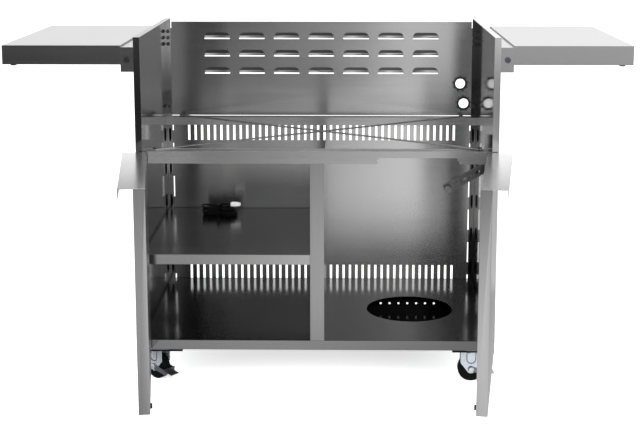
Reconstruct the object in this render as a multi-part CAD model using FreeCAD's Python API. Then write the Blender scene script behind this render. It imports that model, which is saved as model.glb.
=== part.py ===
"""Stainless-steel grill cart without its grill head, standing on four swivel casters.

Millimetres, +X to the right seen from the front, +Y to the back, +Z up. The sizes below are laid out with the
front plane of the cabinet at Y = 0 and the ground at Z = 0; the finished pieces are moved along Y at the end, so
that the origin lies on the ground in the middle of the box around the cart with its doors open.
"""

import FreeCAD
import Part
import math
import os
from FreeCAD import Vector

# Cabinet, all of folded sheet
BODY_WIDTH = 860.0
BODY_DEPTH = 560.0
BODY_HEIGHT = 762.0
SHEET = 1.2
FRONT_RETURN = 16.0
REAR_FLANGE = 15.0
TOP_FLANGE = 15.0
BOTTOM_FLANGE = 15.0
FIT_GAP = 0.2

# Levels, measured up from the bottom of the cabinet
FLOOR_TOP = 25.0
SHELF_TOP = 228.0
SHELF_LIP = 25.0
SHELF_SETBACK = 45.0
SHELF_REAR_GAP = 4.0
RAIL_TOP = 492.0

# Front rail with its notch, rear rail, centre post and divider
RAIL_HEIGHT = 30.0
RAIL_DEPTH = 40.0
NOTCH_LENGTH = 195.0
NOTCH_HEIGHT = 14.5
NOTCH_FROM_SIDE = 93.0
NOTCH_RADIUS = 8.0
REAR_RAIL_HEIGHT = 22.0
REAR_RAIL_DEPTH = 32.0
POST_WIDTH = 34.0
POST_DEPTH = 34.0
DIVIDER_FOOT = 14.0
DIVIDER_REAR_GAP = 3.0

# Upper back panel with louvres and hose holes
BACK_SIDE_GAP = 3.0
UPPER_BACK_DROP = 10.0
UPPER_BACK_HEM = 12.0
PANEL_GAP = 1.0
NOTCH_CORNER_WIDTH = 14.0
NOTCH_CORNER_HEIGHT = 17.0
LOUVRE_WIDTH = 70.0
LOUVRE_HEIGHT = 18.0
LOUVRE_DEPTH = 9.0
LOUVRE_BULGE = 0.82
LOUVRE_MOUTH = 2.4
LOUVRE_ROUND = 13.0
LOUVRE_PITCH = 95.7
LOUVRE_ROW_PITCH = 48.0
LOUVRE_ROWS = 3
LOUVRE_FROM_TOP = 38.5
LOUVRE_MARGIN = 100.0
HOSE_HOLE_RADIUS = 16.5
HOSE_UPPER_INSET = 46.0
HOSE_UPPER_RISE = 90.0
HOSE_LOWER_INSET = 36.0
HOSE_LOWER_RISE = 35.0
GROMMET_LIP = 2.5
GROMMET_LIP_THICKNESS = 2.0
GROMMET_WALL = 3.0

# Lower back panel, hung on hooks in slots of the rear flanges
HOOK_REACH = 2.0
HOOK_WIDTH = 4.0
HOOK_HEIGHT = 18.0
HOOK_TIP = 3.0
HOOK_DROP = 6.0
HOOK_SLOT_WIDTH = 6.0
HOOK_SLOT_HEIGHT = 30.0
HOOK_FIRST = 48.0
HOOK_PITCH = 94.3
HOOK_COUNT = 5
EDGE_SLIT_WIDTH = 3.0
EDGE_SLIT_LAND = 6.0
LOWER_BACK_BOTTOM = 6.0
VENT_WIDTH = 6.2
VENT_HEIGHT = 43.6
VENT_PITCH = 18.0
VENT_MARGIN = 54.0
VENT_LOW_RISE = 13.5
VENT_HIGH_DROP = 70.0

# Bolts of the back panel and of the brace
BOLT_RADIUS = 3.0
BOLT_CLEARANCE = 0.2
BOLT_HEAD_RADIUS = 5.2
BOLT_HEAD_HEIGHT = 3.2
NUT_RADIUS = 5.5
NUT_HEIGHT = 4.5
PANEL_BOLT_RISE = 27.0
PANEL_BOLT_DROP = 36.0
PANEL_BOLT_PITCH = 17.5
PANEL_BOLT_COUNT = 3
STRAP_WIDTH = 12.0
STRAP_THICKNESS = 2.0
STRAP_FROM_SIDE = 44.0
STRAP_CLEARANCE = 0.3
WASHER_RADIUS = 7.0

# Wall bracket above the front rail, on the right
WALL_BRACKET_WIDTH = 28.0
WALL_BRACKET_HEIGHT = 34.0
WALL_BRACKET_DEPTH = 30.0
WALL_BRACKET_THICKNESS = 2.0
WALL_BRACKET_FROM_FRONT = 46.0

# Tank hole in the floor, with the pan below it
TANK_FROM_SIDE = 194.0
TANK_FROM_FRONT = 268.0
TANK_HOLE_RADIUS = 112.0
PAN_MARGIN = 3.0
PAN_DEPTH = 40.0
PAN_FLANGE = 8.0
PAN_HOLE_RADIUS = 2.8
PAN_HOLE_PITCH = 24.0
PAN_HOLE_COUNT = 7
PAN_HOLE_DROP = 19.0

# Swinging arm that holds the tank, on the right wall
ARM_LENGTH = 118.0
ARM_WIDTH = 22.0
ARM_THICKNESS = 2.5
ARM_FLANGE = 10.0
ARM_END = 12.0
ARM_REST_ANGLE = 30.0
ARM_SLOT_LENGTH = 11.0
ARM_SLOT_WIDTH = 5.5
ARM_SLOT_PITCH = 18.0
ARM_SLOT_COUNT = 4
ARM_FIRST_SLOT = 26.0
ARM_FROM_WALL = 20.0
ARM_FROM_FRONT = 52.0
ARM_LEVEL = 447.0
ARM_BRACKET_HEIGHT = 30.0
ARM_BRACKET_DEPTH = 30.0
ARM_BRACKET_THICKNESS = 2.0
ARM_STUD_RADIUS = 4.0
ARM_STUD_HEAD = 7.0
ARM_STUD_HEAD_HEIGHT = 4.0
RUNNING_GAP = 0.05
SIDE_PLAY = 0.3
KNOB_RADIUS = 9.0
KNOB_LENGTH = 12.0
KNOB_FLUTES = 10
KNOB_FLUTE_RADIUS = 1.6
KNOB_SCREW_RADIUS = 3.0
KNOB_SCREW_LENGTH = 16.0

# Doors, drawn closed and then turned open on their pivots
DOOR_OPEN_ANGLE = 82.0
DOOR_THICKNESS = 25.0
DOOR_GAP = 5.0
DOOR_CENTRE_GAP = 2.0
DOOR_SIDE_REVEAL = 6.0
DOOR_BOTTOM = 1.0
DOOR_TOP = 490.0
DOOR_PIVOT_INSET = 10.0
HANDLE_REACH = 32.0
HANDLE_LIP = 22.0
HINGE_LOW = 92.0
HINGE_HIGH = 410.0
HINGE_KNUCKLE_RADIUS = 5.0
HINGE_ARM_HEIGHT = 24.0
HINGE_LEAF_HEIGHT = 12.0
HINGE_ARM_THICKNESS = 6.0
HINGE_FOOT = 2.0
HINGE_LEAF_WIDTH = 40.0
HINGE_LEAF_THICKNESS = 2.0
HINGE_PIN_RADIUS = 2.5
HINGE_PIN_END = 1.5
HINGE_ROOM = 3.0
BUMPER_RADIUS = 6.0
BUMPER_THICKNESS = 4.5
BUMPER_FROM_EDGE = 16.0
BUMPER_FROM_BOTTOM = 14.0

# Side shelves, folding down about pins in their brackets
TRAY_TOP_DROP = 20.0
TRAY_APRON = 45.0
TRAY_LENGTH = 278.0
TRAY_FRONT = 8.0
TRAY_DEPTH = 540.0
TRAY_RETURN = 14.0
TRAY_PIVOT_DROP = 33.0
TRAY_PIVOT_INSET = 16.0
EAR_RADIUS = 11.0
BRACKET_REACH = 31.0
BRACKET_HEIGHT = 58.0
BRACKET_SHEET = 2.0
BRACKET_GAP = 1.0
BRACKET_PLATE_DROP = 4.0
TRAY_PIN_RADIUS = 4.0
TRAY_PIN_HEAD_RADIUS = 7.0
TRAY_PIN_HEAD = 2.5
FOOT_RADIUS = 7.0
FOOT_HEIGHT = 2.6
FOOT_FROM_END = 25.0

# Casters
CASTER_HEIGHT = 90.0
CASTER_INSET = 42.0
CASTER_FROM_END = 51.0
CASTER_PLATE = 102.0
CASTER_PLATE_THICKNESS = 3.5
CASTER_BOLT_INSET = 11.0
CASTER_BOLT_SPREAD = 19.0
RACE_RADIUS = 20.0
RACE_HEIGHT = 2.5
RACE_GAP = 0.4
FORK_TOP = 3.0
FORK_LEG = 2.5
FORK_HALF_WIDTH = 26.0
FORK_SHOULDER = 48.0
FORK_END_RADIUS = 11.0
KINGPIN_RADIUS = 5.0
KINGPIN_HEAD_RADIUS = 8.5
KINGPIN_HEAD_HEIGHT = 3.2
WHEEL_RADIUS = 32.5
WHEEL_WIDTH = 22.0
WHEEL_EDGE = 4.0
WHEEL_HUB_RADIUS = 11.0
WHEEL_HUB_STEP = 1.0
WHEEL_SIDE_GAP = 1.2
WHEEL_TRAIL = 10.0
AXLE_RADIUS = 4.0
AXLE_HEAD_RADIUS = 7.0
AXLE_HEAD_HEIGHT = 4.0
PEDAL_RADIUS = 37.0
PEDAL_SHEET = 2.0
PEDAL_HEIGHT = 16.0
PEDAL_TAB = 20.0
PEDAL_TAB_WIDTH = 26.0
PEDAL_ARM_WIDTH = 12.0
PEDAL_HUB_RADIUS = 8.0
PEDAL_DIP = 12.0
CHANNEL_WIDTH = 52.0
CASTERS = (
    ("front_left", -1, 1, 142.0, True),
    ("front_right", 1, 1, 180.0, True),
    ("rear_left", -1, -1, 20.0, False),
    ("rear_right", 1, -1, 115.0, False),
)

# Lead folded into a tied hank on the middle shelf
CORD_DIAMETER = 4.6
CORD_PITCH = 5.1
CORD_LAYER = 5.5
CORD_WAIST_STEP = 5.7
CORD_WAIST_LEAST = 2.9
CORD_LOBE_CENTRE = 26.0
CORD_LOBE_LEAST = 14.0
CORD_LAYER_SLOPE = 0.16
HANK_X = -279.0
HANK_FROM_FRONT = 476.0
HANK_TURN = -12.0
TIE_WIDTH = 7.0
TIE_THICKNESS = 1.0
TIE_GAP = 0.4
CONNECTOR_LENGTH = 27.0
CONNECTOR_WIDTH = 15.0
CONNECTOR_HEIGHT = 11.0
CONNECTOR_START = 29.0
CONNECTOR_EDGE = 2.0
BARREL_LENGTH = 20.0
BARREL_RADIUS = 3.6
BARREL_END = 8.0
# Half turns of the lead from the bottom layer up: the lobe's size step, and the layers climbed before it
HANK_LOBES = (
    (3, 0), (2, 0), (1, 0), (0, 0),
    (1, 1), (2, 0), (3, 0),
    (2, 1), (1, 0), (0, 0),
    (1, 1), (2, 0),
)

HALF = BODY_WIDTH / 2
WALL = HALF - SHEET
BASE = CASTER_HEIGHT
TOP = BASE + BODY_HEIGHT
RAIL_Z = BASE + RAIL_TOP
FLANGE_X = HALF - (REAR_FLANGE + SHEET) / 2
UP = Vector(0, 0, 1)
HINGE_LEVELS = (HINGE_LOW, HINGE_HIGH)
HOSE_HOLES = (
    (HOSE_UPPER_INSET, RAIL_TOP + HOSE_UPPER_RISE),
    (HOSE_LOWER_INSET, RAIL_TOP + HOSE_LOWER_RISE),
)
VENT_LEVELS = (LOWER_BACK_BOTTOM + VENT_LOW_RISE, RAIL_TOP - VENT_HIGH_DROP)
PANEL_BOLT_LEVELS = [RAIL_TOP + PANEL_BOLT_RISE]
for count in range(PANEL_BOLT_COUNT):
    PANEL_BOLT_LEVELS.append(BODY_HEIGHT - PANEL_BOLT_DROP - count * PANEL_BOLT_PITCH)


def box(x0, x1, y0, y1, z0, z1):
    """A block between two corners."""
    return Part.makeBox(x1 - x0, y1 - y0, z1 - z0, Vector(x0, y0, z0))


def rod(radius, start, end):
    """A round bar from one point to another."""
    line = end - start
    return Part.makeCylinder(radius, line.Length, start, line)


def ring(outer, inner, start, end):
    """A round tube from one point to another."""
    return rod(outer, start, end).cut(rod(inner, start, end))


def prism(points, along):
    """A closed polygon pushed along a direction."""
    return Part.Face(Part.makePolygon(points + points[:1])).extrude(along)


def joined(shapes):
    """Several shapes welded into one."""
    return shapes[0].multiFuse(shapes[1:]).removeSplitter()


def folded(low, high, open_low=(), open_high=()):
    """A folded sheet box, open on the named low and high sides (x, y or z)."""
    inner_low = []
    inner_high = []
    for axis, lowest, highest in zip("xyz", low, high):
        inner_low.append(lowest - SHEET if axis in open_low else lowest + SHEET)
        inner_high.append(highest + SHEET if axis in open_high else highest - SHEET)
    outer = box(low[0], high[0], low[1], high[1], low[2], high[2])
    inner = box(inner_low[0], inner_high[0], inner_low[1], inner_high[1], inner_low[2], inner_high[2])
    return outer.cut(inner)


def turned(shape, centre, axis, degrees):
    """A copy of a shape turned about an axis."""
    copy = shape.copy()
    copy.rotate(centre, axis, degrees)
    return copy


def mirrored(shape):
    """The left-hand twin of a right-hand piece."""
    return shape.mirror(Vector(0, 0, 0), Vector(1, 0, 0))


def spread(count, pitch):
    """Places of a row of equal pieces about the middle."""
    return [(number - (count - 1) / 2) * pitch for number in range(count)]


# Cabinet

def hook_levels():
    return [BASE + HOOK_FIRST + number * HOOK_PITCH for number in range(HOOK_COUNT)]


def side_panel():
    """Right side: one sheet with a front return and three flanges, slotted for the hooks."""
    sheets = [
        box(WALL, HALF, 0, BODY_DEPTH, BASE, TOP),
        box(HALF - FRONT_RETURN, HALF, 0, SHEET, BASE, TOP),
        box(HALF - REAR_FLANGE, HALF, BODY_DEPTH - SHEET, BODY_DEPTH, BASE, TOP),
        box(HALF - TOP_FLANGE, HALF, 0, BODY_DEPTH, TOP - SHEET, TOP),
        box(HALF - BOTTOM_FLANGE, HALF, 0, BODY_DEPTH, BASE, BASE + SHEET),
    ]
    holes = []
    rear = BODY_DEPTH + SHEET
    front = BODY_DEPTH - 2 * SHEET
    for z in hook_levels():
        left = FLANGE_X - HOOK_SLOT_WIDTH / 2
        holes.append(box(left, left + HOOK_SLOT_WIDTH, front, rear, z, z + HOOK_SLOT_HEIGHT))
    for level in PANEL_BOLT_LEVELS:
        z = BASE + level
        holes.append(rod(BOLT_RADIUS + BOLT_CLEARANCE, Vector(FLANGE_X, front, z), Vector(FLANGE_X, rear, z)))
    return joined(sheets).cut(holes)


def louvre_outline(x, z, grow):
    """Outline of one louvre pushed through the sheet: straight below, rounded above."""
    left = x - LOUVRE_WIDTH / 2 - grow
    right = x + LOUVRE_WIDTH / 2 + grow
    low = z - LOUVRE_HEIGHT / 2
    high = z + LOUVRE_HEIGHT / 2 + grow
    radius = LOUVRE_ROUND + grow
    lean = radius * (1 - math.sqrt(0.5))

    def at(place, level):
        return Vector(place, BODY_DEPTH, level)

    edges = [
        Part.makeLine(at(left, low), at(left, high - radius)),
        Part.Arc(at(left, high - radius), at(left + lean, high - lean), at(left + radius, high)).toShape(),
        Part.makeLine(at(left + radius, high), at(right - radius, high)),
        Part.Arc(at(right - radius, high), at(right - lean, high - lean), at(right, high - radius)).toShape(),
        Part.makeLine(at(right, high - radius), at(right, low)),
        Part.makeLine(at(right, low), at(left, low)),
    ]
    return Part.Face(Part.Wire(edges)).extrude(Vector(0, LOUVRE_DEPTH + 2 * SHEET, 0))


def louvre_block(x, z, grow):
    """Room under the hood of one louvre, on the back of the sheet and above its open mouth."""
    start = BODY_DEPTH + SHEET / 2
    reach = BODY_DEPTH + LOUVRE_DEPTH + grow
    low = z - LOUVRE_HEIGHT / 2 + LOUVRE_MOUTH
    top = z + LOUVRE_HEIGHT / 2 + grow
    left = x - LOUVRE_WIDTH / 2 - grow
    middle = Vector(left, start + (reach - start) * LOUVRE_BULGE, low + (top - low) * (1 - LOUVRE_BULGE / 2))
    upper = Vector(left, start, top)
    corner = Vector(left, start, low)
    tip = Vector(left, reach, low)
    edges = [
        Part.Arc(upper, middle, tip).toShape(),
        Part.makeLine(tip, corner),
        Part.makeLine(corner, upper),
    ]
    block = Part.Face(Part.Wire(edges)).extrude(Vector(LOUVRE_WIDTH + 2 * grow, 0, 0))
    return block.common(louvre_outline(x, z, grow))


def louvre(x, z):
    """Hood of one louvre on the back of the sheet, open at its lower side."""
    return louvre_block(x, z, SHEET).cut(louvre_block(x, z, 0))


def upper_back_places():
    half = HALF - BACK_SIDE_GAP
    columns = int((2 * half - 2 * LOUVRE_MARGIN - LOUVRE_WIDTH) / LOUVRE_PITCH) + 1
    top = TOP - UPPER_BACK_DROP
    rows = [top - LOUVRE_FROM_TOP - number * LOUVRE_ROW_PITCH for number in range(LOUVRE_ROWS)]
    return half, top, [(x, z) for z in rows for x in spread(columns, LOUVRE_PITCH)]


def upper_back_panel():
    """Sheet behind the rear flanges, with pressed louvres and two holes for hoses."""
    half, top, places = upper_back_places()
    low = RAIL_Z + PANEL_GAP
    rear = BODY_DEPTH + SHEET
    sheet = box(-half, half, BODY_DEPTH, rear, low, top)
    cuts = []
    for side in (-1, 1):
        edge = side * half
        inner = side * (half - NOTCH_CORNER_WIDTH)
        x0 = min(edge, inner)
        cuts.append(box(x0, x0 + NOTCH_CORNER_WIDTH, BODY_DEPTH, rear, top - NOTCH_CORNER_HEIGHT, top))
        for level in PANEL_BOLT_LEVELS:
            z = BASE + level
            start = Vector(side * FLANGE_X, BODY_DEPTH, z)
            cuts.append(rod(BOLT_RADIUS + BOLT_CLEARANCE, start, start + Vector(0, SHEET, 0)))
    for x, z in places:
        cuts.append(louvre_outline(x, z, 0))
    for inset, level in HOSE_HOLES:
        start = Vector(HALF - inset, BODY_DEPTH, BASE + level)
        cuts.append(rod(HOSE_HOLE_RADIUS, start, start + Vector(0, SHEET, 0)))
    inset = half - NOTCH_CORNER_WIDTH
    hem = box(-inset, inset, BODY_DEPTH, BODY_DEPTH + UPPER_BACK_HEM, top - SHEET, top)
    return joined([sheet.cut(cuts), hem] + [louvre(x, z) for x, z in places])


def grommets():
    """Rubber rings that line the two hose holes."""
    rings = []
    for inset, level in HOSE_HOLES:
        middle = Vector(HALF - inset, BODY_DEPTH, BASE + level)
        front = middle - Vector(0, GROMMET_LIP_THICKNESS, 0)
        rear = middle + Vector(0, SHEET, 0)
        bore = HOSE_HOLE_RADIUS - GROMMET_WALL
        lip = HOSE_HOLE_RADIUS + GROMMET_LIP
        rings.append(joined([
            ring(HOSE_HOLE_RADIUS - RUNNING_GAP, bore, middle, rear),
            ring(lip, bore, front, middle),
            ring(lip, bore, rear, rear + Vector(0, GROMMET_LIP_THICKNESS, 0)),
        ]))
    return rings


def lower_back_panel():
    """Vented sheet that hangs by its hooks in the slots of the rear flanges, slit along both edges."""
    half = HALF - BACK_SIDE_GAP
    front = BODY_DEPTH + HOOK_REACH
    rear = front + SHEET
    sheet = box(-half, half, front, rear, BASE + LOWER_BACK_BOTTOM, RAIL_Z - PANEL_GAP)
    vents = []
    count = 2 * int((half - VENT_MARGIN) / VENT_PITCH + 0.5)
    for level in VENT_LEVELS:
        for x in spread(count, VENT_PITCH):
            left = x - VENT_WIDTH / 2
            z = BASE + level
            vents.append(box(left, left + VENT_WIDTH, front, rear, z, z + VENT_HEIGHT))
    starts = [BASE + LOWER_BACK_BOTTOM] + [z + HOOK_HEIGHT for z in hook_levels()]
    stops = [z - HOOK_DROP for z in hook_levels()] + [RAIL_Z - PANEL_GAP]
    hooks = []
    inside = BODY_DEPTH - SHEET
    for side in (-1, 1):
        outer = side * (HALF - REAR_FLANGE)
        left = min(outer, outer - side * EDGE_SLIT_WIDTH)
        for start, stop in zip(starts, stops):
            if stop - start > 2 * EDGE_SLIT_LAND + EDGE_SLIT_WIDTH:
                low = start + EDGE_SLIT_LAND
                vents.append(box(left, left + EDGE_SLIT_WIDTH, front, rear, low, stop - EDGE_SLIT_LAND))
        left = side * FLANGE_X - HOOK_WIDTH / 2
        for z in hook_levels():
            hooks.append(box(left, left + HOOK_WIDTH, inside - HOOK_TIP, rear, z, z + HOOK_HEIGHT))
            hooks.append(box(left, left + HOOK_WIDTH, inside - HOOK_TIP, inside, z - HOOK_DROP, z))
    return joined([sheet.cut(vents)] + hooks)


def panel_bolts():
    """Bolts that hold the upper back panel on the rear flanges."""
    bolts = []
    inside = BODY_DEPTH - SHEET
    behind = BODY_DEPTH + SHEET
    for side in (-1, 1):
        for level in PANEL_BOLT_LEVELS:
            def at(y):
                return Vector(side * FLANGE_X, y, BASE + level)
            bolts.append(joined([
                rod(BOLT_RADIUS, at(inside), at(behind + NUT_HEIGHT)),
                rod(BOLT_HEAD_RADIUS, at(inside - BOLT_HEAD_HEIGHT), at(inside)),
                rod(NUT_RADIUS, at(behind), at(behind + NUT_HEIGHT)),
            ]))
    return bolts


def tank_centre(z):
    return Vector(HALF - TANK_FROM_SIDE, TANK_FROM_FRONT, z)


def floor_pan():
    """Floor with down-turned lips all round and the hole for the tank."""
    top = BASE + FLOOR_TOP
    pan = folded((-WALL, SHEET, BASE + SHEET), (WALL, BODY_DEPTH - SHEET, top), open_low="z")
    return pan.cut(rod(TANK_HOLE_RADIUS, tank_centre(BASE), tank_centre(top)))


def tank_pan():
    """Square pan under the tank hole, with a row of round holes in each wall."""
    top = BASE + FLOOR_TOP - SHEET
    half = TANK_HOLE_RADIUS + PAN_MARGIN
    centre = tank_centre(top)
    low = (centre.x - half, centre.y - half, top - PAN_DEPTH)
    high = (centre.x + half, centre.y + half, top)
    pan = folded(low, high, open_high="z")
    wide = half + PAN_FLANGE
    flange = box(centre.x - wide, centre.x + wide, centre.y - wide, centre.y + wide, top - SHEET, top)
    opening = box(low[0], high[0], low[1], high[1], top - SHEET, top)
    holes = []
    z = top - PAN_HOLE_DROP
    for place in spread(PAN_HOLE_COUNT, PAN_HOLE_PITCH):
        x = centre.x + place
        y = centre.y + place
        holes.append(rod(PAN_HOLE_RADIUS, Vector(x, low[1] - SHEET, z), Vector(x, high[1] + SHEET, z)))
        holes.append(rod(PAN_HOLE_RADIUS, Vector(low[0] - SHEET, y, z), Vector(high[0] + SHEET, y, z)))
    return joined([pan, flange.cut(opening)]).cut(holes)


def brace_ends():
    """Where the brace is bolted: the front and rear points of each strap, lower strap first."""
    x = HALF - STRAP_FROM_SIDE
    front = SHEET + RAIL_DEPTH / 2
    rear = BODY_DEPTH - SHEET - REAR_RAIL_DEPTH / 2
    lower = RAIL_Z
    upper = RAIL_Z + STRAP_THICKNESS + STRAP_CLEARANCE
    return [
        (Vector(-x, front, lower), Vector(x, rear, lower)),
        (Vector(x, front, upper), Vector(-x, rear, upper)),
    ]


def bolt_hole(point):
    """Clearance hole through a rail's top under one end of the brace."""
    low = Vector(point.x, point.y, RAIL_Z - 2 * SHEET)
    return rod(BOLT_RADIUS + BOLT_CLEARANCE, low, low + UP * (4 * SHEET))


def front_rail():
    """Folded rail open below, notched through its front and rear faces."""
    low = RAIL_Z - RAIL_HEIGHT
    rail = folded((-WALL, SHEET, low), (WALL, SHEET + RAIL_DEPTH, RAIL_Z), open_low="z")
    right = HALF - NOTCH_FROM_SIDE
    notch = box(right - NOTCH_LENGTH, right, 0, RAIL_DEPTH + 3 * SHEET, low - SHEET, low + NOTCH_HEIGHT)
    corners = []
    for edge in notch.Edges:
        middle = edge.CenterOfMass
        if abs(middle.z - low - NOTCH_HEIGHT) < FIT_GAP and abs(edge.BoundBox.YLength) > SHEET:
            corners.append(edge)
    return rail.cut([notch.makeFillet(NOTCH_RADIUS, corners)] + [bolt_hole(ends[0]) for ends in brace_ends()])


def rear_rail():
    """Folded rail open below, between the side panels at the back."""
    inside = BODY_DEPTH - SHEET
    low = (-WALL, inside - REAR_RAIL_DEPTH, RAIL_Z - REAR_RAIL_HEIGHT)
    rail = folded(low, (WALL, inside, RAIL_Z), open_low="z")
    return rail.cut([bolt_hole(ends[1]) for ends in brace_ends()])


def brace_strap(start, end):
    """Flat strap with round ends, bolted at both ends."""
    line = end - start
    length = line.Length
    half = STRAP_WIDTH / 2
    lift = UP * STRAP_THICKNESS
    strap = joined([
        box(0, length, -half, half, 0, STRAP_THICKNESS),
        rod(half, Vector(0, 0, 0), lift),
        rod(half, Vector(length, 0, 0), Vector(length, 0, 0) + lift),
    ])
    hole = BOLT_RADIUS + BOLT_CLEARANCE
    strap = strap.cut([
        rod(hole, Vector(0, 0, 0), lift),
        rod(hole, Vector(length, 0, 0), Vector(length, 0, 0) + lift),
    ])
    strap.rotate(Vector(0, 0, 0), UP, math.degrees(math.atan2(line.y, line.x)))
    strap.translate(start)
    return strap


def brace_washers():
    """Spacers that lift the upper strap over the lower one."""
    return [
        ring(WASHER_RADIUS, BOLT_RADIUS + BOLT_CLEARANCE, Vector(end.x, end.y, RAIL_Z), end)
        for end in brace_ends()[1]
    ]


def brace_bolts():
    """Bolts at the four ends of the brace, with nuts under the rails' tops."""
    bolts = []
    for ends in brace_ends():
        for end in ends:
            under = Vector(end.x, end.y, RAIL_Z - SHEET)
            over = end + UP * STRAP_THICKNESS
            bolts.append(joined([
                rod(BOLT_RADIUS, under - UP * NUT_HEIGHT, over),
                rod(BOLT_HEAD_RADIUS, over, over + UP * BOLT_HEAD_HEIGHT),
                rod(NUT_RADIUS, under - UP * NUT_HEIGHT, under),
            ]))
    return bolts


def centre_post():
    """Folded upright between floor and front rail, open at the back."""
    half = POST_WIDTH / 2
    low = (-half, SHEET, BASE + FLOOR_TOP)
    return folded(low, (half, SHEET + POST_DEPTH, RAIL_Z - RAIL_HEIGHT), open_low="z", open_high="yz")


DIVIDER_RIGHT = POST_WIDTH / 2 - SHEET
DIVIDER_LEFT = DIVIDER_RIGHT - SHEET


def divider_panel():
    """Sheet from the post to the back, with a foot on the floor."""
    front = SHEET + POST_DEPTH / 2
    rear = BODY_DEPTH - SHEET - DIVIDER_REAR_GAP
    low = BASE + FLOOR_TOP
    top = RAIL_Z - RAIL_HEIGHT
    foot = box(DIVIDER_LEFT - DIVIDER_FOOT, DIVIDER_RIGHT, SHEET + POST_DEPTH, rear, low, low + SHEET)
    return joined([box(DIVIDER_LEFT, DIVIDER_RIGHT, front, rear, low, top), foot])


def middle_shelf():
    """Shelf of the left compartment, with down-turned lips."""
    top = BASE + SHELF_TOP
    low = (-WALL, SHELF_SETBACK, top - SHELF_LIP)
    return folded(low, (DIVIDER_LEFT, BODY_DEPTH - SHELF_REAR_GAP, top), open_low="z")


def wall_bracket():
    """Small angle on the right wall, just above the front rail."""
    front = WALL_BRACKET_FROM_FRONT
    thick = WALL_BRACKET_THICKNESS
    top = RAIL_Z + WALL_BRACKET_HEIGHT
    hole_x = WALL - WALL_BRACKET_WIDTH / 2
    hole_z = RAIL_Z + WALL_BRACKET_HEIGHT / 2
    face = box(WALL - WALL_BRACKET_WIDTH, WALL, front, front + thick, RAIL_Z, top)
    leg = box(WALL - thick, WALL, front, front + WALL_BRACKET_DEPTH, RAIL_Z, top)
    head = rod(BOLT_HEAD_RADIUS, Vector(hole_x, front - BOLT_HEAD_HEIGHT, hole_z), Vector(hole_x, front, hole_z))
    return joined([face, leg, head])


# Tank arm

def arm_pivot(y):
    return Vector(WALL - ARM_FROM_WALL, y, BASE + ARM_LEVEL)


def tank_arm_bracket():
    """Angle on the right wall with the headed stud on which the arm turns."""
    behind = ARM_FROM_FRONT + ARM_THICKNESS + ARM_FLANGE + SIDE_PLAY
    thick = ARM_BRACKET_THICKNESS
    low = BASE + ARM_LEVEL - ARM_BRACKET_HEIGHT / 2
    top = low + ARM_BRACKET_HEIGHT
    left = WALL - ARM_FROM_WALL - ARM_BRACKET_HEIGHT / 2
    front = ARM_FROM_FRONT - SIDE_PLAY
    return joined([
        box(left, WALL, behind, behind + thick, low, top),
        box(WALL - thick, WALL, behind, behind + ARM_BRACKET_DEPTH, low, top),
        rod(ARM_STUD_RADIUS, arm_pivot(front), arm_pivot(behind)),
        rod(ARM_STUD_HEAD, arm_pivot(front - ARM_STUD_HEAD_HEIGHT), arm_pivot(front)),
    ])


def arm_rest(shape):
    """Turns a piece of the arm, drawn level, down to its resting slope."""
    return turned(shape, arm_pivot(0), Vector(0, 1, 0), -ARM_REST_ANGLE)


def tank_arm():
    """Slotted bar with a stiffening flange along its upper edge and a sleeve on the stud."""
    pivot = arm_pivot(ARM_FROM_FRONT)
    half = ARM_WIDTH / 2
    back = ARM_FROM_FRONT + ARM_THICKNESS
    left = pivot.x - ARM_LENGTH
    right = pivot.x + ARM_END
    web = box(left, right, ARM_FROM_FRONT, back, pivot.z - half, pivot.z + half)
    flange = box(left, right, ARM_FROM_FRONT, back + ARM_FLANGE, pivot.z + half - ARM_THICKNESS, pivot.z + half)
    sleeve = rod(ARM_STUD_HEAD, pivot, arm_pivot(back + ARM_FLANGE))
    cuts = [rod(ARM_STUD_RADIUS + RUNNING_GAP, pivot, arm_pivot(back + ARM_FLANGE))]
    cuts.append(rod(KNOB_SCREW_RADIUS, arm_tip(ARM_FROM_FRONT), arm_tip(back)))
    end = (ARM_SLOT_LENGTH - ARM_SLOT_WIDTH) / 2
    for number in range(ARM_SLOT_COUNT):
        middle = pivot - Vector(ARM_FIRST_SLOT + number * ARM_SLOT_PITCH, 0, 0)
        tall = ARM_SLOT_WIDTH / 2
        cuts.append(box(middle.x - end, middle.x + end, middle.y, back, middle.z - tall, middle.z + tall))
        for side in (-end, end):
            start = middle + Vector(side, 0, 0)
            cuts.append(rod(tall, start, start + Vector(0, ARM_THICKNESS, 0)))
    return arm_rest(joined([web, flange, sleeve]).cut(cuts))


def arm_tip(y):
    return arm_pivot(y) - Vector(ARM_LENGTH - KNOB_RADIUS - FIT_GAP, 0, 0)


def tank_arm_knob():
    """Fluted thumb knob screwed through the free end of the arm."""
    front = ARM_FROM_FRONT
    knob = rod(KNOB_RADIUS, arm_tip(front - KNOB_LENGTH), arm_tip(front))
    flutes = []
    for number in range(KNOB_FLUTES):
        angle = 2 * math.pi * number / KNOB_FLUTES
        offset = Vector(math.cos(angle), 0, math.sin(angle)) * KNOB_RADIUS
        flutes.append(rod(KNOB_FLUTE_RADIUS, arm_tip(front - KNOB_LENGTH) + offset, arm_tip(front) + offset))
    screw = rod(KNOB_SCREW_RADIUS, arm_tip(front), arm_tip(front + KNOB_SCREW_LENGTH))
    return arm_rest(joined([knob.cut(flutes), screw]))


# Doors

DOOR_LEFT = DOOR_CENTRE_GAP
DOOR_RIGHT = HALF - DOOR_SIDE_REVEAL
DOOR_BACK = -DOOR_GAP
DOOR_FACE = DOOR_BACK - DOOR_THICKNESS
PIVOT_X = DOOR_RIGHT - DOOR_PIVOT_INSET
PIVOT_Y = DOOR_BACK - DOOR_THICKNESS / 2


def pivot(z):
    return Vector(PIVOT_X, PIVOT_Y, z)


def opened(shape):
    """Turns a piece of the closed right door to the open position."""
    return turned(shape, pivot(0), UP, DOOR_OPEN_ANGLE)


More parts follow.
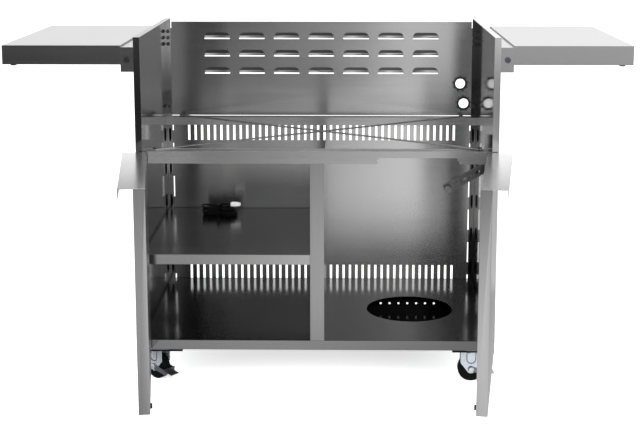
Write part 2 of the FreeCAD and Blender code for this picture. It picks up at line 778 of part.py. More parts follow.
def hinge_pocket():
    """Room in the corner of the door for the hinge arms, which pass in from the back and from the edge."""
    room = HINGE_KNUCKLE_RADIUS + HINGE_ROOM
    half = HINGE_ARM_HEIGHT / 2 + HINGE_ROOM
    pockets = []
    for level in HINGE_LEVELS:
        z = BASE + level
        pockets.append(box(PIVOT_X - room, DOOR_RIGHT, PIVOT_Y - room, DOOR_BACK, z - half, z + half))
    return pockets


def door_skin():
    """Front sheet of the door with folded edges."""
    low = (DOOR_LEFT, DOOR_FACE, BASE + DOOR_BOTTOM)
    skin = folded(low, (DOOR_RIGHT, DOOR_BACK, BASE + DOOR_TOP), open_high="y")
    return opened(skin.cut(hinge_pocket()))


def door_liner():
    """Inner sheet that closes the door between its folded edges."""
    inset = SHEET + FIT_GAP
    sheet = box(
        DOOR_LEFT + inset, DOOR_RIGHT - inset, DOOR_BACK - SHEET, DOOR_BACK,
        BASE + DOOR_BOTTOM + inset, BASE + DOOR_TOP - inset,
    )
    return opened(sheet.cut(hinge_pocket()))


def door_handle():
    """Pull along the whole top edge: a level sheet that reaches forward and turns down."""
    low = BASE + DOOR_TOP
    top = low + SHEET
    front = DOOR_FACE - HANDLE_REACH
    plate = box(DOOR_LEFT, DOOR_RIGHT, front, DOOR_BACK, low, top)
    lip = box(DOOR_LEFT, DOOR_RIGHT, front, front + SHEET, top - HANDLE_LIP, top)
    return opened(joined([plate, lip]))


def hinge_leaves():
    """Door halves of the two hinges, welded to the inside of the front sheet."""
    leaves = []
    inside = DOOR_FACE + SHEET
    arm = HINGE_ARM_HEIGHT / 2 + SIDE_PLAY
    radius = HINGE_KNUCKLE_RADIUS
    right = PIVOT_X + radius
    left = right - HINGE_LEAF_WIDTH
    for level in HINGE_LEVELS:
        z = BASE + level
        tall = arm + HINGE_LEAF_HEIGHT
        shapes = [box(left, right, inside, inside + HINGE_LEAF_THICKNESS, z - tall, z + tall)]
        for low in (z - tall, z + arm):
            high = low + HINGE_LEAF_HEIGHT
            shapes.append(box(PIVOT_X - radius, right, inside, PIVOT_Y, low, high))
            shapes.append(rod(radius, pivot(low), pivot(high)))
        bore = rod(HINGE_PIN_RADIUS + RUNNING_GAP, pivot(z - tall), pivot(z + tall))
        leaves.append(opened(joined(shapes).cut(bore)))
    return leaves


def hinge_arms():
    """Cabinet halves of the two hinges, with a foot on the front return."""
    arms = []
    half = HINGE_ARM_HEIGHT / 2
    thick = HINGE_ARM_THICKNESS / 2
    for level in HINGE_LEVELS:
        z = BASE + level
        arm = joined([
            box(PIVOT_X - thick, PIVOT_X + thick, PIVOT_Y, 0, z - half, z + half),
            box(PIVOT_X - thick, HALF - SHEET, -HINGE_FOOT, 0, z - half, z + half),
            rod(HINGE_KNUCKLE_RADIUS, pivot(z - half), pivot(z + half)),
        ])
        arms.append(arm.cut(rod(HINGE_PIN_RADIUS, pivot(z - half), pivot(z + half))))
    return arms


def hinge_pins():
    """Pins held in the hinge arms, on which the doors turn."""
    pins = []
    reach = HINGE_ARM_HEIGHT / 2 + SIDE_PLAY + HINGE_LEAF_HEIGHT + HINGE_PIN_END
    for level in HINGE_LEVELS:
        z = BASE + level
        pins.append(rod(HINGE_PIN_RADIUS, pivot(z - reach), pivot(z + reach)))
    return pins


def door_bumper():
    """Rubber button on the inside of the door that meets the floor's lip."""
    x = DOOR_LEFT + BUMPER_FROM_EDGE
    z = BASE + DOOR_BOTTOM + BUMPER_FROM_BOTTOM
    return opened(rod(BUMPER_RADIUS, Vector(x, DOOR_BACK, z), Vector(x, DOOR_BACK + BUMPER_THICKNESS, z)))


# Side shelves

TRAY_TOP = TOP - TRAY_TOP_DROP
TRAY_LOW = TRAY_TOP - TRAY_APRON
TRAY_X = HALF + BRACKET_REACH + BRACKET_GAP
TRAY_END = TRAY_X + TRAY_LENGTH
TRAY_PIVOT_X = TRAY_X - TRAY_PIVOT_INSET
TRAY_PIVOT_Z = TRAY_TOP - TRAY_PIVOT_DROP
TRAY_REAR = TRAY_FRONT + TRAY_DEPTH


def tray_pivot(y):
    return Vector(TRAY_PIVOT_X, y, TRAY_PIVOT_Z)


def shelf_tray():
    """Right shelf: a folded tray, open below, with inward returns and two pivot ears."""
    tray = folded((TRAY_X, TRAY_FRONT, TRAY_LOW), (TRAY_END, TRAY_REAR, TRAY_TOP), open_low="z")
    shapes = [tray]
    for y in (TRAY_FRONT, TRAY_REAR - TRAY_RETURN):
        shapes.append(box(TRAY_X, TRAY_END, y, y + TRAY_RETURN, TRAY_LOW, TRAY_LOW + SHEET))
    shapes.append(box(TRAY_END - TRAY_RETURN, TRAY_END, TRAY_FRONT, TRAY_REAR, TRAY_LOW, TRAY_LOW + SHEET))
    bores = []
    for y in (TRAY_FRONT, TRAY_REAR - SHEET):
        web = [
            Vector(TRAY_PIVOT_X, y, TRAY_PIVOT_Z + EAR_RADIUS),
            Vector(TRAY_PIVOT_X, y, TRAY_PIVOT_Z - EAR_RADIUS),
            Vector(TRAY_X + SHEET, y, TRAY_LOW),
            Vector(TRAY_X + SHEET, y, TRAY_TOP),
        ]
        shapes.append(prism(web, Vector(0, SHEET, 0)))
        shapes.append(rod(EAR_RADIUS, tray_pivot(y), tray_pivot(y + SHEET)))
        bores.append(rod(TRAY_PIN_RADIUS + RUNNING_GAP, tray_pivot(y), tray_pivot(y + SHEET)))
    return joined(shapes).cut(bores)


BRACKET_FRONT = TRAY_FRONT - BRACKET_GAP - BRACKET_SHEET
BRACKET_REAR = TRAY_REAR + BRACKET_GAP + BRACKET_SHEET


def shelf_bracket():
    """Right fold bracket: a plate on the side panel with a cheek at each end and a cover along the top."""
    top = TRAY_TOP - BRACKET_PLATE_DROP
    low = top - BRACKET_HEIGHT
    plate = box(HALF, HALF + BRACKET_SHEET, BRACKET_FRONT, BRACKET_REAR, low, top)
    cover_front = TRAY_FRONT + SHEET + BRACKET_GAP
    cover_rear = TRAY_REAR - SHEET - BRACKET_GAP
    cover = box(HALF, HALF + BRACKET_REACH, cover_front, cover_rear, top - BRACKET_SHEET, top)
    shapes = [plate, cover]
    bores = []
    for y in (BRACKET_FRONT, BRACKET_REAR - BRACKET_SHEET):
        shapes.append(box(HALF, HALF + BRACKET_REACH, y, y + BRACKET_SHEET, low, top))
        bores.append(rod(TRAY_PIN_RADIUS, tray_pivot(y), tray_pivot(y + BRACKET_SHEET)))
    return joined(shapes).cut(bores)


def shelf_pins():
    """Headed pins through the cheeks of the right bracket and the ears of its shelf."""
    inner = BRACKET_SHEET + BRACKET_GAP + SHEET + BRACKET_GAP
    pins = []
    for outside, into in ((BRACKET_FRONT, 1), (BRACKET_REAR, -1)):
        pins.append(joined([
            rod(TRAY_PIN_RADIUS, tray_pivot(outside), tray_pivot(outside + into * inner)),
            rod(TRAY_PIN_HEAD_RADIUS, tray_pivot(outside - into * TRAY_PIN_HEAD), tray_pivot(outside)),
        ]))
    return pins


def shelf_bumpers():
    """Rubber buttons under the outer end of the right shelf, which meet the side panel when it is folded."""
    x = TRAY_END - FOOT_FROM_END
    buttons = []
    for y in (TRAY_FRONT + FOOT_RADIUS, TRAY_REAR - FOOT_RADIUS):
        buttons.append(rod(FOOT_RADIUS, Vector(x, y, TRAY_LOW - FOOT_HEIGHT), Vector(x, y, TRAY_LOW)))
    return buttons


# Casters, drawn with the kingpin on the Z axis, the axle along Y and the wheel trailing towards +X

PLATE_LOW = BASE - CASTER_PLATE_THICKNESS
RACE_LOW = PLATE_LOW - RACE_HEIGHT
FORK_HIGH = RACE_LOW - RACE_GAP
FORK_FLAT = FORK_HIGH - RACE_HEIGHT
FORK_LOW = FORK_FLAT - FORK_TOP
LEG_INSIDE = WHEEL_WIDTH / 2 + WHEEL_HUB_STEP + WHEEL_SIDE_GAP
LEG_OUTSIDE = LEG_INSIDE + FORK_LEG


def level(z):
    return Vector(0, 0, z)


def axle(y):
    return Vector(WHEEL_TRAIL, y, WHEEL_RADIUS)


def caster_fork():
    """Fork with a ball-race crown, shield-shaped legs and a bore for the axle."""
    left = WHEEL_TRAIL - FORK_HALF_WIDTH
    right = WHEEL_TRAIL + FORK_HALF_WIDTH
    end = FORK_END_RADIUS / math.sqrt(2)
    shapes = [
        box(left, right, -LEG_OUTSIDE, LEG_OUTSIDE, FORK_LOW, FORK_FLAT),
        rod(RACE_RADIUS, level(FORK_LOW), level(FORK_HIGH)),
    ]
    for y in (-LEG_OUTSIDE, LEG_INSIDE):
        shield = [
            Vector(left, y, FORK_FLAT),
            Vector(right, y, FORK_FLAT),
            Vector(right, y, FORK_SHOULDER),
            Vector(WHEEL_TRAIL + end, y, WHEEL_RADIUS - end),
            Vector(WHEEL_TRAIL - end, y, WHEEL_RADIUS - end),
            Vector(left, y, FORK_SHOULDER),
        ]
        shapes.append(prism(shield, Vector(0, FORK_LEG, 0)))
        shapes.append(rod(FORK_END_RADIUS, axle(y), axle(y + FORK_LEG)))
    bores = [
        rod(KINGPIN_RADIUS + RUNNING_GAP, level(FORK_LOW), level(FORK_HIGH)),
        rod(AXLE_RADIUS, axle(-LEG_OUTSIDE), axle(LEG_OUTSIDE)),
    ]
    return joined(shapes).cut(bores)


def caster_axle(braked):
    """Bolt with its nut, through the fork, the wheel and the pedal's arms if there is a pedal."""
    seat = LEG_OUTSIDE + (PEDAL_SHEET + 2 * SIDE_PLAY if braked else 0)
    return joined([
        rod(AXLE_RADIUS, axle(-seat), axle(seat)),
        rod(AXLE_HEAD_RADIUS, axle(-seat - AXLE_HEAD_HEIGHT), axle(-seat)),
        rod(AXLE_HEAD_RADIUS, axle(seat), axle(seat + AXLE_HEAD_HEIGHT)),
    ])


def caster_wheel():
    """Solid rubber wheel with rounded shoulders and a proud hub."""
    half = WHEEL_WIDTH / 2
    tyre = rod(WHEEL_RADIUS, axle(-half), axle(half))
    rims = [edge for edge in tyre.Edges if isinstance(edge.Curve, Part.Circle)]
    hub = half + WHEEL_HUB_STEP
    wheel = joined([tyre.makeFillet(WHEEL_EDGE, rims), rod(WHEEL_HUB_RADIUS, axle(-hub), axle(hub))])
    return wheel.cut(rod(AXLE_RADIUS + RUNNING_GAP, axle(-hub), axle(hub)))


def brake_pedal():
    """Stirrup that turns on the axle: two arms, a cross plate in front of the wheel and a foot tab."""
    inside = LEG_OUTSIDE + SIDE_PLAY
    outside = inside + PEDAL_SHEET
    front = WHEEL_TRAIL - PEDAL_RADIUS
    half = PEDAL_ARM_WIDTH / 2
    tall = PEDAL_HEIGHT / 2
    shapes = []
    for y in (-outside, inside):
        shapes.append(rod(PEDAL_HUB_RADIUS, axle(y), axle(y + PEDAL_SHEET)))
        shapes.append(box(front, WHEEL_TRAIL, y, y + PEDAL_SHEET, WHEEL_RADIUS - half, WHEEL_RADIUS + half))
    plate = front - PEDAL_SHEET
    shapes.append(box(plate, front, -outside, outside, WHEEL_RADIUS - tall, WHEEL_RADIUS + tall))
    tab = PEDAL_TAB_WIDTH / 2
    low = WHEEL_RADIUS - PEDAL_SHEET / 2
    shapes.append(box(plate - PEDAL_TAB, front, -tab, tab, low, low + PEDAL_SHEET))
    bore = rod(AXLE_RADIUS + RUNNING_GAP, axle(-outside), axle(outside))
    return turned(joined(shapes).cut(bore), axle(0), Vector(0, 1, 0), -PEDAL_DIP)


def kingpin():
    """Pin through plate and fork, headed below the fork's crown."""
    seat = FORK_LOW - SIDE_PLAY
    return joined([
        rod(KINGPIN_RADIUS, level(seat), level(BASE)),
        rod(KINGPIN_HEAD_RADIUS, level(seat - KINGPIN_HEAD_HEIGHT), level(seat)),
    ])


def caster_centre(side, end):
    """Place of a kingpin: side is -1 on the left, end is 1 at the front."""
    y = CASTER_FROM_END if end > 0 else BODY_DEPTH - CASTER_FROM_END
    return Vector(side * (HALF - CASTER_INSET), y, 0)


def caster_bolt_places(side, end):
    """Bolts beside the kingpin, through the channel and the outer part of the plate."""
    centre = caster_centre(side, end)
    reach = CASTER_PLATE / 2 - CASTER_BOLT_INSET
    return [
        centre + Vector(x, y, 0)
        for x in (-CASTER_BOLT_SPREAD, CASTER_BOLT_SPREAD)
        for y in (-reach, reach)
    ]


def caster_plate(side, end):
    """Corner plate that carries one caster, with the upper half of its ball race."""
    centre = caster_centre(side, end)
    half = CASTER_PLATE / 2
    inner = side * (HALF - CASTER_PLATE)
    x0 = min(inner, side * HALF)
    plate = box(x0, x0 + CASTER_PLATE, centre.y - half, centre.y + half, PLATE_LOW, BASE)
    race = rod(RACE_RADIUS, centre + level(RACE_LOW), centre + level(PLATE_LOW))
    holes = [rod(KINGPIN_RADIUS, centre + level(RACE_LOW), centre + level(BASE))]
    for place in caster_bolt_places(side, end):
        holes.append(rod(BOLT_RADIUS + BOLT_CLEARANCE, place + level(PLATE_LOW), place + level(BASE)))
    return joined([plate, race]).cut(holes)


def caster_bolts(side, end):
    """Bolts of one caster, with their nuts inside the channel."""
    bolts = []
    for place in caster_bolt_places(side, end):
        bolts.append(joined([
            rod(BOLT_RADIUS, place + level(PLATE_LOW), place + level(BASE + SHEET + NUT_HEIGHT)),
            rod(BOLT_HEAD_RADIUS, place + level(PLATE_LOW - BOLT_HEAD_HEIGHT), place + level(PLATE_LOW)),
            rod(NUT_RADIUS, place + level(BASE + SHEET), place + level(BASE + SHEET + NUT_HEIGHT)),
        ]))
    return bolts


def base_channel(side):
    """Channel under the floor that carries a front and a rear caster."""
    middle = side * (HALF - CASTER_INSET)
    half = CHANNEL_WIDTH / 2
    inset = 2 * SHEET + FIT_GAP
    low = (middle - half, inset, BASE)
    channel = folded(low, (middle + half, BODY_DEPTH - inset, BASE + FLOOR_TOP - SHEET), open_high="z")
    holes = []
    for end in (1, -1):
        for place in caster_bolt_places(side, end):
            holes.append(rod(BOLT_RADIUS + BOLT_CLEARANCE, place + level(BASE), place + level(BASE + SHEET)))
    return channel.cut(holes)


def placed(shape, side, end, heading):
    """Turns a caster piece to its heading and puts it on its kingpin's place."""
    copy = turned(shape, Vector(0, 0, 0), UP, heading)
    copy.translate(caster_centre(side, end))
    return copy


# Hank of lead

def cord_lift():
    return BASE + SHELF_TOP + TIE_THICKNESS + 2 * TIE_GAP + CORD_DIAMETER / 2


def on_shelf(point):
    """Moves a point of the hank, drawn level about its waist, to its place on the shelf."""
    turn = math.radians(HANK_TURN)
    x = point.x * math.cos(turn) - point.y * math.sin(turn)
    y = point.x * math.sin(turn) + point.y * math.cos(turn)
    return Vector(HANK_X + x, HANK_FROM_FRONT + y, cord_lift() + point.z)


def arc_middle(start, tangent, end):
    """Middle point of the arc that leaves a point along a tangent and ends at another point."""
    chord = end - start
    along = chord.dot(tangent) / chord.Length
    side = tangent - chord * (along / chord.Length)
    if side.Length < 1e-9:
        return (start + end) * 0.5
    side.normalize()
    half_angle = math.acos(max(-1.0, min(1.0, along))) / 2
    return (start + end) * 0.5 + side * (chord.Length / 2 * math.tan(half_angle))


def biarc(start, start_tangent, end, end_tangent):
    """Two arcs that join smoothly between two points with given directions."""
    line = end - start
    both = start_tangent + end_tangent
    bend = 2 * (1 - start_tangent.dot(end_tangent))
    reach = line.dot(both)
    if bend < 1e-9:
        step = line.dot(line) / (4 * line.dot(end_tangent))
    else:
        step = (-reach + math.sqrt(reach * reach + bend * line.dot(line))) / bend
    joint = (start + end + (start_tangent - end_tangent) * step) * 0.5
    return [
        (start, arc_middle(start, start_tangent, joint), joint),
        (joint, arc_middle(end, end_tangent * -1, joint), end),
    ]


def lobe(number, layer_z, waist_in, waist_out):
    """One end of a loop: its arc, with the directions in which it is entered and left.

    Lobes with an even number lie to the right. The lead comes in along the rear of a right lobe and leaves along
    its front, and the other way round on the left.
    """
    hand = 1 if number % 2 == 0 else -1
    radius = CORD_LOBE_LEAST + HANK_LOBES[number][0] * CORD_PITCH / 2

    def shoulder(waist):
        reach = (waist ** 2 + CORD_LOBE_CENTRE ** 2 - radius ** 2) / (2 * (radius - waist))
        angle = math.asin(CORD_LOBE_CENTRE / (reach + radius))
        return angle

    def point(angle, side):
        x = CORD_LOBE_CENTRE - radius * math.sin(angle)
        return Vector(hand * x, hand * side * radius * math.cos(angle), layer_z)

    enter = shoulder(waist_in)
    leave = shoulder(waist_out)
    tip = Vector(hand * (CORD_LOBE_CENTRE + radius), 0, layer_z)
    enter_way = Vector(hand * math.cos(enter), hand * math.sin(enter), 0)
    leave_way = Vector(-hand * math.cos(leave), hand * math.sin(leave), 0)
    return point(enter, 1), enter_way, tip, point(leave, -1), leave_way


def hank_waists():
    """Offset of the lead from the middle where it passes the waist before each lobe, and after the last."""
    steps = [size for size, climb in HANK_LOBES]
    climbs = [climb for size, climb in HANK_LOBES]
    waists = []
    for number, size in enumerate(steps):
        before = steps[number - 1] if number else size + 1
        middle = (before + size) / 2
        if climbs[number]:
            middle = before + (-0.5 if size > before else 0.5)
        waists.append(CORD_WAIST_LEAST + (middle + 0.5) * CORD_WAIST_STEP / 2)
    waists.append(CORD_WAIST_LEAST + (steps[-1] + 1) * CORD_WAIST_STEP / 2)
    return waists


def hank_arcs():
    """The lead's centre line as arcs, from the barrel end on the shelf to the connector on top."""
    waists = hank_waists()
    arcs = []
    layer_z = 0.0
    last = None
    for number, (size, climb) in enumerate(HANK_LOBES):
        before_z = layer_z
        layer_z += climb * CORD_LAYER
        entered, enter_way, tip, left, leave_way = lobe(number, layer_z, waists[number], waists[number + 1])
        hand = 1 if number % 2 == 0 else -1
        if last is None:
            radius = CORD_LOBE_LEAST + size * CORD_PITCH / 2
            start = Vector(BARREL_END, radius, 0)
            entered = Vector(CORD_LOBE_CENTRE, radius, 0)
            enter_way = Vector(1, 0, 0)
            straight = start + Vector(CORD_DIAMETER, 0, 0)
            arcs.append((start, (start + straight) * 0.5, straight))
            arcs += biarc(straight, Vector(1, 0, 0), entered, enter_way)
        else:
            slope = CORD_LAYER_SLOPE * climb
            waist_way = Vector(hand, 0, slope)
            waist_way.normalize()
            waist = Vector(0, hand * waists[number], (before_z + layer_z) / 2)
            arcs += biarc(last[0], last[1], waist, waist_way)
            arcs += biarc(waist, waist_way, entered, enter_way)
        arcs.append((entered, arc_middle(entered, enter_way, tip), tip))
        arcs.append((tip, arc_middle(left, leave_way * -1, tip), left))
        last = (left, leave_way)
    end = connector_start()
    straight = end - Vector(CORD_DIAMETER, 0, 0)
    waist = Vector(0, waists[-1], layer_z + (end.z - layer_z) / 3)
    way = Vector(1, 0, 2 * CORD_LAYER_SLOPE)
    way.normalize()
    arcs += biarc(last[0], last[1], waist, way)
    arcs += biarc(waist, way, straight, Vector(1, 0, 0))
    arcs.append((straight, (straight + end) * 0.5, end))
    return [tuple(on_shelf(point) for point in arc) for arc in arcs]


def hank_top():
    """Height of the top layer's centre line over the bottom layer's."""
    return sum(climb for size, climb in HANK_LOBES) * CORD_LAYER


def connector_start():
    z = hank_top() + CORD_DIAMETER / 2 + TIE_GAP + CONNECTOR_HEIGHT / 2
    return Vector(CONNECTOR_START, hank_waists()[-1], z)


def cord_edge(start, middle, end):
    """An arc of the lead's centre line, or a straight stretch where it doesn't bend."""
    off = middle - (start + end) * 0.5
    if off.Length < 1e-6:
        return Part.LineSegment(start, end).toShape()
    return Part.Arc(start, middle, end).toShape()


def cord_points(edges, step):
    """Points along the centre line, evenly spaced, with their distance along it."""
    points = []
    run = 0.0
    for edge in edges:
        count = max(2, int(edge.Length / step))
        for number in range(count):
            points.append((run + edge.Length * number / count, edge.valueAt(
                edge.FirstParameter + (edge.LastParameter - edge.FirstParameter) * number / count)))
        run += edge.Length
    return points


def cord_least_gap(edges):
    """Least distance between the surfaces of two parts of the lead that aren't next to each other."""
    points = cord_points(edges, 1.0)
    least = None
    for number, (run, point) in enumerate(points):
        for other_run, other in points[number + 1:]:
            if other_run - run < 4 * CORD_DIAMETER:
                continue
            gap = point.distanceToPoint(other) - CORD_DIAMETER
            if least is None or gap < least:
                least = gap
    return least


def cord_hank():
    """The lead as one tube along its loops."""
    edges = [cord_edge(*arc) for arc in hank_arcs()]
    path = Part.Wire(edges)
    start = edges[0].valueAt(edges[0].FirstParameter)
    way = edges[0].tangentAt(edges[0].FirstParameter)
    profile = Part.Wire(Part.makeCircle(CORD_DIAMETER / 2, start, way))
    tube = path.makePipeShell([profile], True, False)
    length = sum(edge.Length for edge in edges)
    section = math.pi * CORD_DIAMETER ** 2 / 4
    radii = [edge.Curve.Radius for edge in edges if isinstance(edge.Curve, Part.Circle)]
    print("cord length %.1f, volume over section times length %.4f" % (length, tube.Volume / section / length))
    print("cord tightest radius %.2f, least gap to itself %.3f" % (min(radii), cord_least_gap(edges)))
    return tube


def settled(shape):
    """Moves a piece drawn about the hank's waist to its place on the shelf."""
    copy = turned(shape, Vector(0, 0, 0), UP, HANK_TURN)
    copy.translate(Vector(HANK_X, HANK_FROM_FRONT, cord_lift()))
    return copy


def cord_connector():
    """Moulded connector at the upper end of the lead, lying on the hank."""
    start = connector_start()
    half = CONNECTOR_WIDTH / 2
    tall = CONNECTOR_HEIGHT / 2
    body = box(start.x, start.x + CONNECTOR_LENGTH, start.y - half, start.y + half, start.z - tall, start.z + tall)
    long_edges = [edge for edge in body.Edges if edge.BoundBox.XLength > FIT_GAP]
    return settled(body.makeFillet(CONNECTOR_EDGE, long_edges))


def cord_barrel():
    """Small round plug at the lower end of the lead, beside the waist."""
    radius = CORD_LOBE_LEAST + HANK_LOBES[0][0] * CORD_PITCH / 2
    end = Vector(BARREL_END, radius, 0)
    return settled(rod(BARREL_RADIUS, end - Vector(BARREL_LENGTH, 0, 0), end))


def cord_tie():
    """Flat tie round the waist of the hank."""
    waists = hank_waists()
    rear = max(waists[number] for number in range(2, len(waists), 2))
    front = max(waists[number] for number in range(1, len(waists), 2))
    room = CORD_DIAMETER / 2 + TIE_GAP
    half = TIE_WIDTH / 2
    top = hank_top() + CORD_LAYER + room
    inner = box(-half, half, -front - room, rear + room, -room, top)
    edge = TIE_THICKNESS
    outer = box(-half, half, -front - room - edge, rear + room + edge, -room - edge, top + edge)
    return settled(outer.cut(inner))


# The pieces, each under its name

def pieces():
    nodes = {
        "side_panel_right": side_panel(),
        "side_panel_left": mirrored(side_panel()),
        "upper_back_panel": upper_back_panel(),
        "lower_back_panel": lower_back_panel(),
        "panel_bolts": panel_bolts(),
        "hose_grommets": grommets(),
        "floor_pan": floor_pan(),
        "tank_pan": tank_pan(),
        "front_rail": front_rail(),
        "rear_rail": rear_rail(),
        "brace_straps": [brace_strap(*ends) for ends in brace_ends()],
        "brace_washers": brace_washers(),
        "brace_bolts": brace_bolts(),
        "centre_post": centre_post(),
        "divider_panel": divider_panel(),
        "middle_shelf": middle_shelf(),
        "wall_bracket": wall_bracket(),
        "tank_arm_bracket": tank_arm_bracket(),
        "tank_arm": tank_arm(),
        "tank_arm_knob": tank_arm_knob(),
        "hinge_arms": hinge_arms() + [mirrored(arm) for arm in hinge_arms()],
        "hinge_pins": hinge_pins() + [mirrored(pin) for pin in hinge_pins()],
        "shelf_pins": shelf_pins() + [mirrored(pin) for pin in shelf_pins()],
        "shelf_brackets": [shelf_bracket(), mirrored(shelf_bracket())],
        "cord_hank": cord_hank(),
        "cord_connector": cord_connector(),
        "cord_barrel": cord_barrel(),
        "cord_tie": cord_tie(),
        "base_channels": [base_channel(side) for side in (-1, 1)],
        "caster_plates": [caster_plate(side, end) for name, side, end, heading, braked in CASTERS],
        "caster_kingpins": [placed(kingpin(), side, end, 0) for name, side, end, heading, braked in CASTERS],
    }
    nodes["caster_bolts"] = sum([caster_bolts(side, end) for name, side, end, heading, braked in CASTERS], [])
    handed = {
        "door_skin": [door_skin()],
        "door_liner": [door_liner()],
        "door_handle": [door_handle()],
        "door_bumper": [door_bumper()],
        "hinge_leaves": hinge_leaves(),
        "shelf_tray": [shelf_tray()],
        "shelf_bumpers": shelf_bumpers(),
    }
    for name, shapes in handed.items():
        nodes[name + "_right"] = shapes
        nodes[name + "_left"] = [mirrored(shape) for shape in shapes]
    for name, side, end, heading, braked in CASTERS:
        nodes["caster_fork_" + name] = placed(caster_fork(), side, end, heading)
        nodes["caster_axle_" + name] = placed(caster_axle(braked), side, end, heading)
        nodes["caster_wheel_" + name] = placed(caster_wheel(), side, end, heading)
        if braked:
            nodes["brake_pedal_" + name] = placed(brake_pedal(), side, end, heading)
    return nodes


def front_reach():
    """The foremost point of the open doors, at the handle's free corner."""
    turn = math.radians(DOOR_OPEN_ANGLE)
    across = PIVOT_X - DOOR_LEFT
    out = PIVOT_Y - DOOR_FACE + HANDLE_REACH
    return PIVOT_Y - across * math.sin(turn) - out * math.cos(turn)


def rear_reach():
    """The rearmost point of the cabinet."""
    return BODY_DEPTH + max(UPPER_BACK_HEM, LOUVRE_DEPTH + SHEET, HOOK_REACH + SHEET, SHEET + NUT_HEIGHT)


Y_SHIFT = -(front_reach() + rear_reach()) / 2


def save(name, shapes):
    """Writes one node, moved along Y to the cart's own origin."""
    shapes = shapes if isinstance(shapes, list) else [shapes]
    solids = []
    for shape in shapes:
        for solid in shape.Solids:
            copy = solid.copy()
            copy.translate(Vector(0, Y_SHIFT, 0))
            solids.append(copy)
    for solid in solids:
        if not solid.isValid():
            print("not valid:", name)
    whole = solids[0] if len(solids) == 1 else Part.makeCompound(solids)
    whole.exportStep(os.path.join("parts", name + ".step"))
    if len(solids) != len(shapes):
        print("solids and shapes differ:", name, len(solids), len(shapes))


def main():
    os.makedirs("parts", exist_ok=True)
    nodes = pieces()
    for name, shapes in nodes.items():
        save(name, shapes)
    print("nodes %d, moved along Y by %.3f" % (len(nodes), Y_SHIFT))


main()
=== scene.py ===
# %% [markdown]
# A grill cart, dressed for the camera
# The cart is a stainless cabinet on casters, empty because its grill head is off. Its solids come
# ready made, with every hinge in place, so the work here is finishes, small parts, light and camera.

# %% The solids of the cart
import math
import bmesh
import bpy
from mathutils import Matrix, Vector


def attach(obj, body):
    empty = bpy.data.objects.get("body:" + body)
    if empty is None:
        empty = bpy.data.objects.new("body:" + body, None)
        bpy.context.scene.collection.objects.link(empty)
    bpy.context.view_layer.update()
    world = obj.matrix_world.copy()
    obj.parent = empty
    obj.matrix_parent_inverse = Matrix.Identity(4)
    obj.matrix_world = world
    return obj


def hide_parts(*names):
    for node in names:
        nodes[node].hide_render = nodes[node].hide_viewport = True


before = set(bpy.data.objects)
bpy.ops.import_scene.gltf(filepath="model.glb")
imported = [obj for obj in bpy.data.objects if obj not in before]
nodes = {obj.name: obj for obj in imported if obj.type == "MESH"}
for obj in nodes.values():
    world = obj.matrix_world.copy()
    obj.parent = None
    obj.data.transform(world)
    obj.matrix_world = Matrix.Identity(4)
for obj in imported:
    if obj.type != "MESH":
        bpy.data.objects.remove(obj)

scene = bpy.context.scene
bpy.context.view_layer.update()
MM = 0.001

# %% [markdown]
# Camera
# The photograph was taken from above the cart's top, a little right of its middle, with a long lens.
# A lens that only looks down makes uprights lean, so a small part of the look down is given to the
# lens shift instead, which keeps them straighter. The rest is the tilt of the camera.

# %% Camera at the photograph's viewing angle
LENS = 74.5
SENSOR_WIDTH = 36.0
SHIFT_X = -0.011
SHIFT_Y = -0.1
CAMERA_PLACE = (0.068, -3.151, 1.144)
YAW = math.radians(-0.82)
TILT = math.radians(10.31)
camera_data = bpy.data.cameras.new("camera")
camera_data.lens = LENS
camera_data.sensor_width = SENSOR_WIDTH
camera_data.shift_x = SHIFT_X
camera_data.shift_y = SHIFT_Y
camera = bpy.data.objects.new("camera", camera_data)
camera.location = CAMERA_PLACE
look = Vector((math.sin(YAW) * math.cos(TILT), math.cos(YAW) * math.cos(TILT), -math.sin(TILT)))
camera.rotation_euler = look.to_track_quat("-Z", "Y").to_euler()
scene.collection.objects.link(camera)
scene.camera = camera
scene.view_settings.view_transform = "Standard"
print("camera at", CAMERA_PLACE, "lens", LENS)

# %% [markdown]
# The folded lead
# On the middle shelf lies a thin black lead, folded into a hank and tied at the waist. A lead is one
# length of something that bends, so it is one curve: its control points come from a loop over the
# half turns, each with two points at the waist and five round the end of the loop. The five stand at
# the corners of a polygon drawn around the turn, because a curve of order 3 touches the middle of
# each side of its polygon and so keeps the turn's radius. The turns differ in size and lie in layers.
# Some reach a little more or less far than the rest, or lift their end, as soft turns do. Turns that
# lie side by side at one end of a layer share their reach, or else one would cut into the other.
# The thickness is given as the radius of each point, because a curve's box counts that radius.

# %% Sizes of the hank, lengths in millimetres
CORD = 4.6
TURN_STEP = 5.1
LAYER = 5.5
WAIST_STEP = 5.7
WAIST_LEAST = 2.9
TURN_CENTRE = 26.0
TURN_LEAST = 14.0
TURN_CORNERS = 5
WAIST_REACH = 7.0
BARREL_END = 8.0
PLUG_START = 29.0
PLUG_HEIGHT = 11.0
TIE_THICKNESS = 1.0
TIE_ROOM = 0.4
# Shares of its last climb that the lead has made before and after the tie
CLIMB_BEFORE_TIE = 0.09
CLIMB_AFTER_TIE = 0.66
SHELF_LEVEL = 318.0
# Depths are counted from the cabinet's front; the frame's zero is the middle of the whole cart
FRONT_SHIFT = -70.158
HANK_LEVEL = SHELF_LEVEL + TIE_THICKNESS + 2 * TIE_ROOM + CORD / 2
HANK_PLACE = (-279.0, 476.0 + FRONT_SHIFT, HANK_LEVEL)
HANK_TURN = math.radians(-12.0)
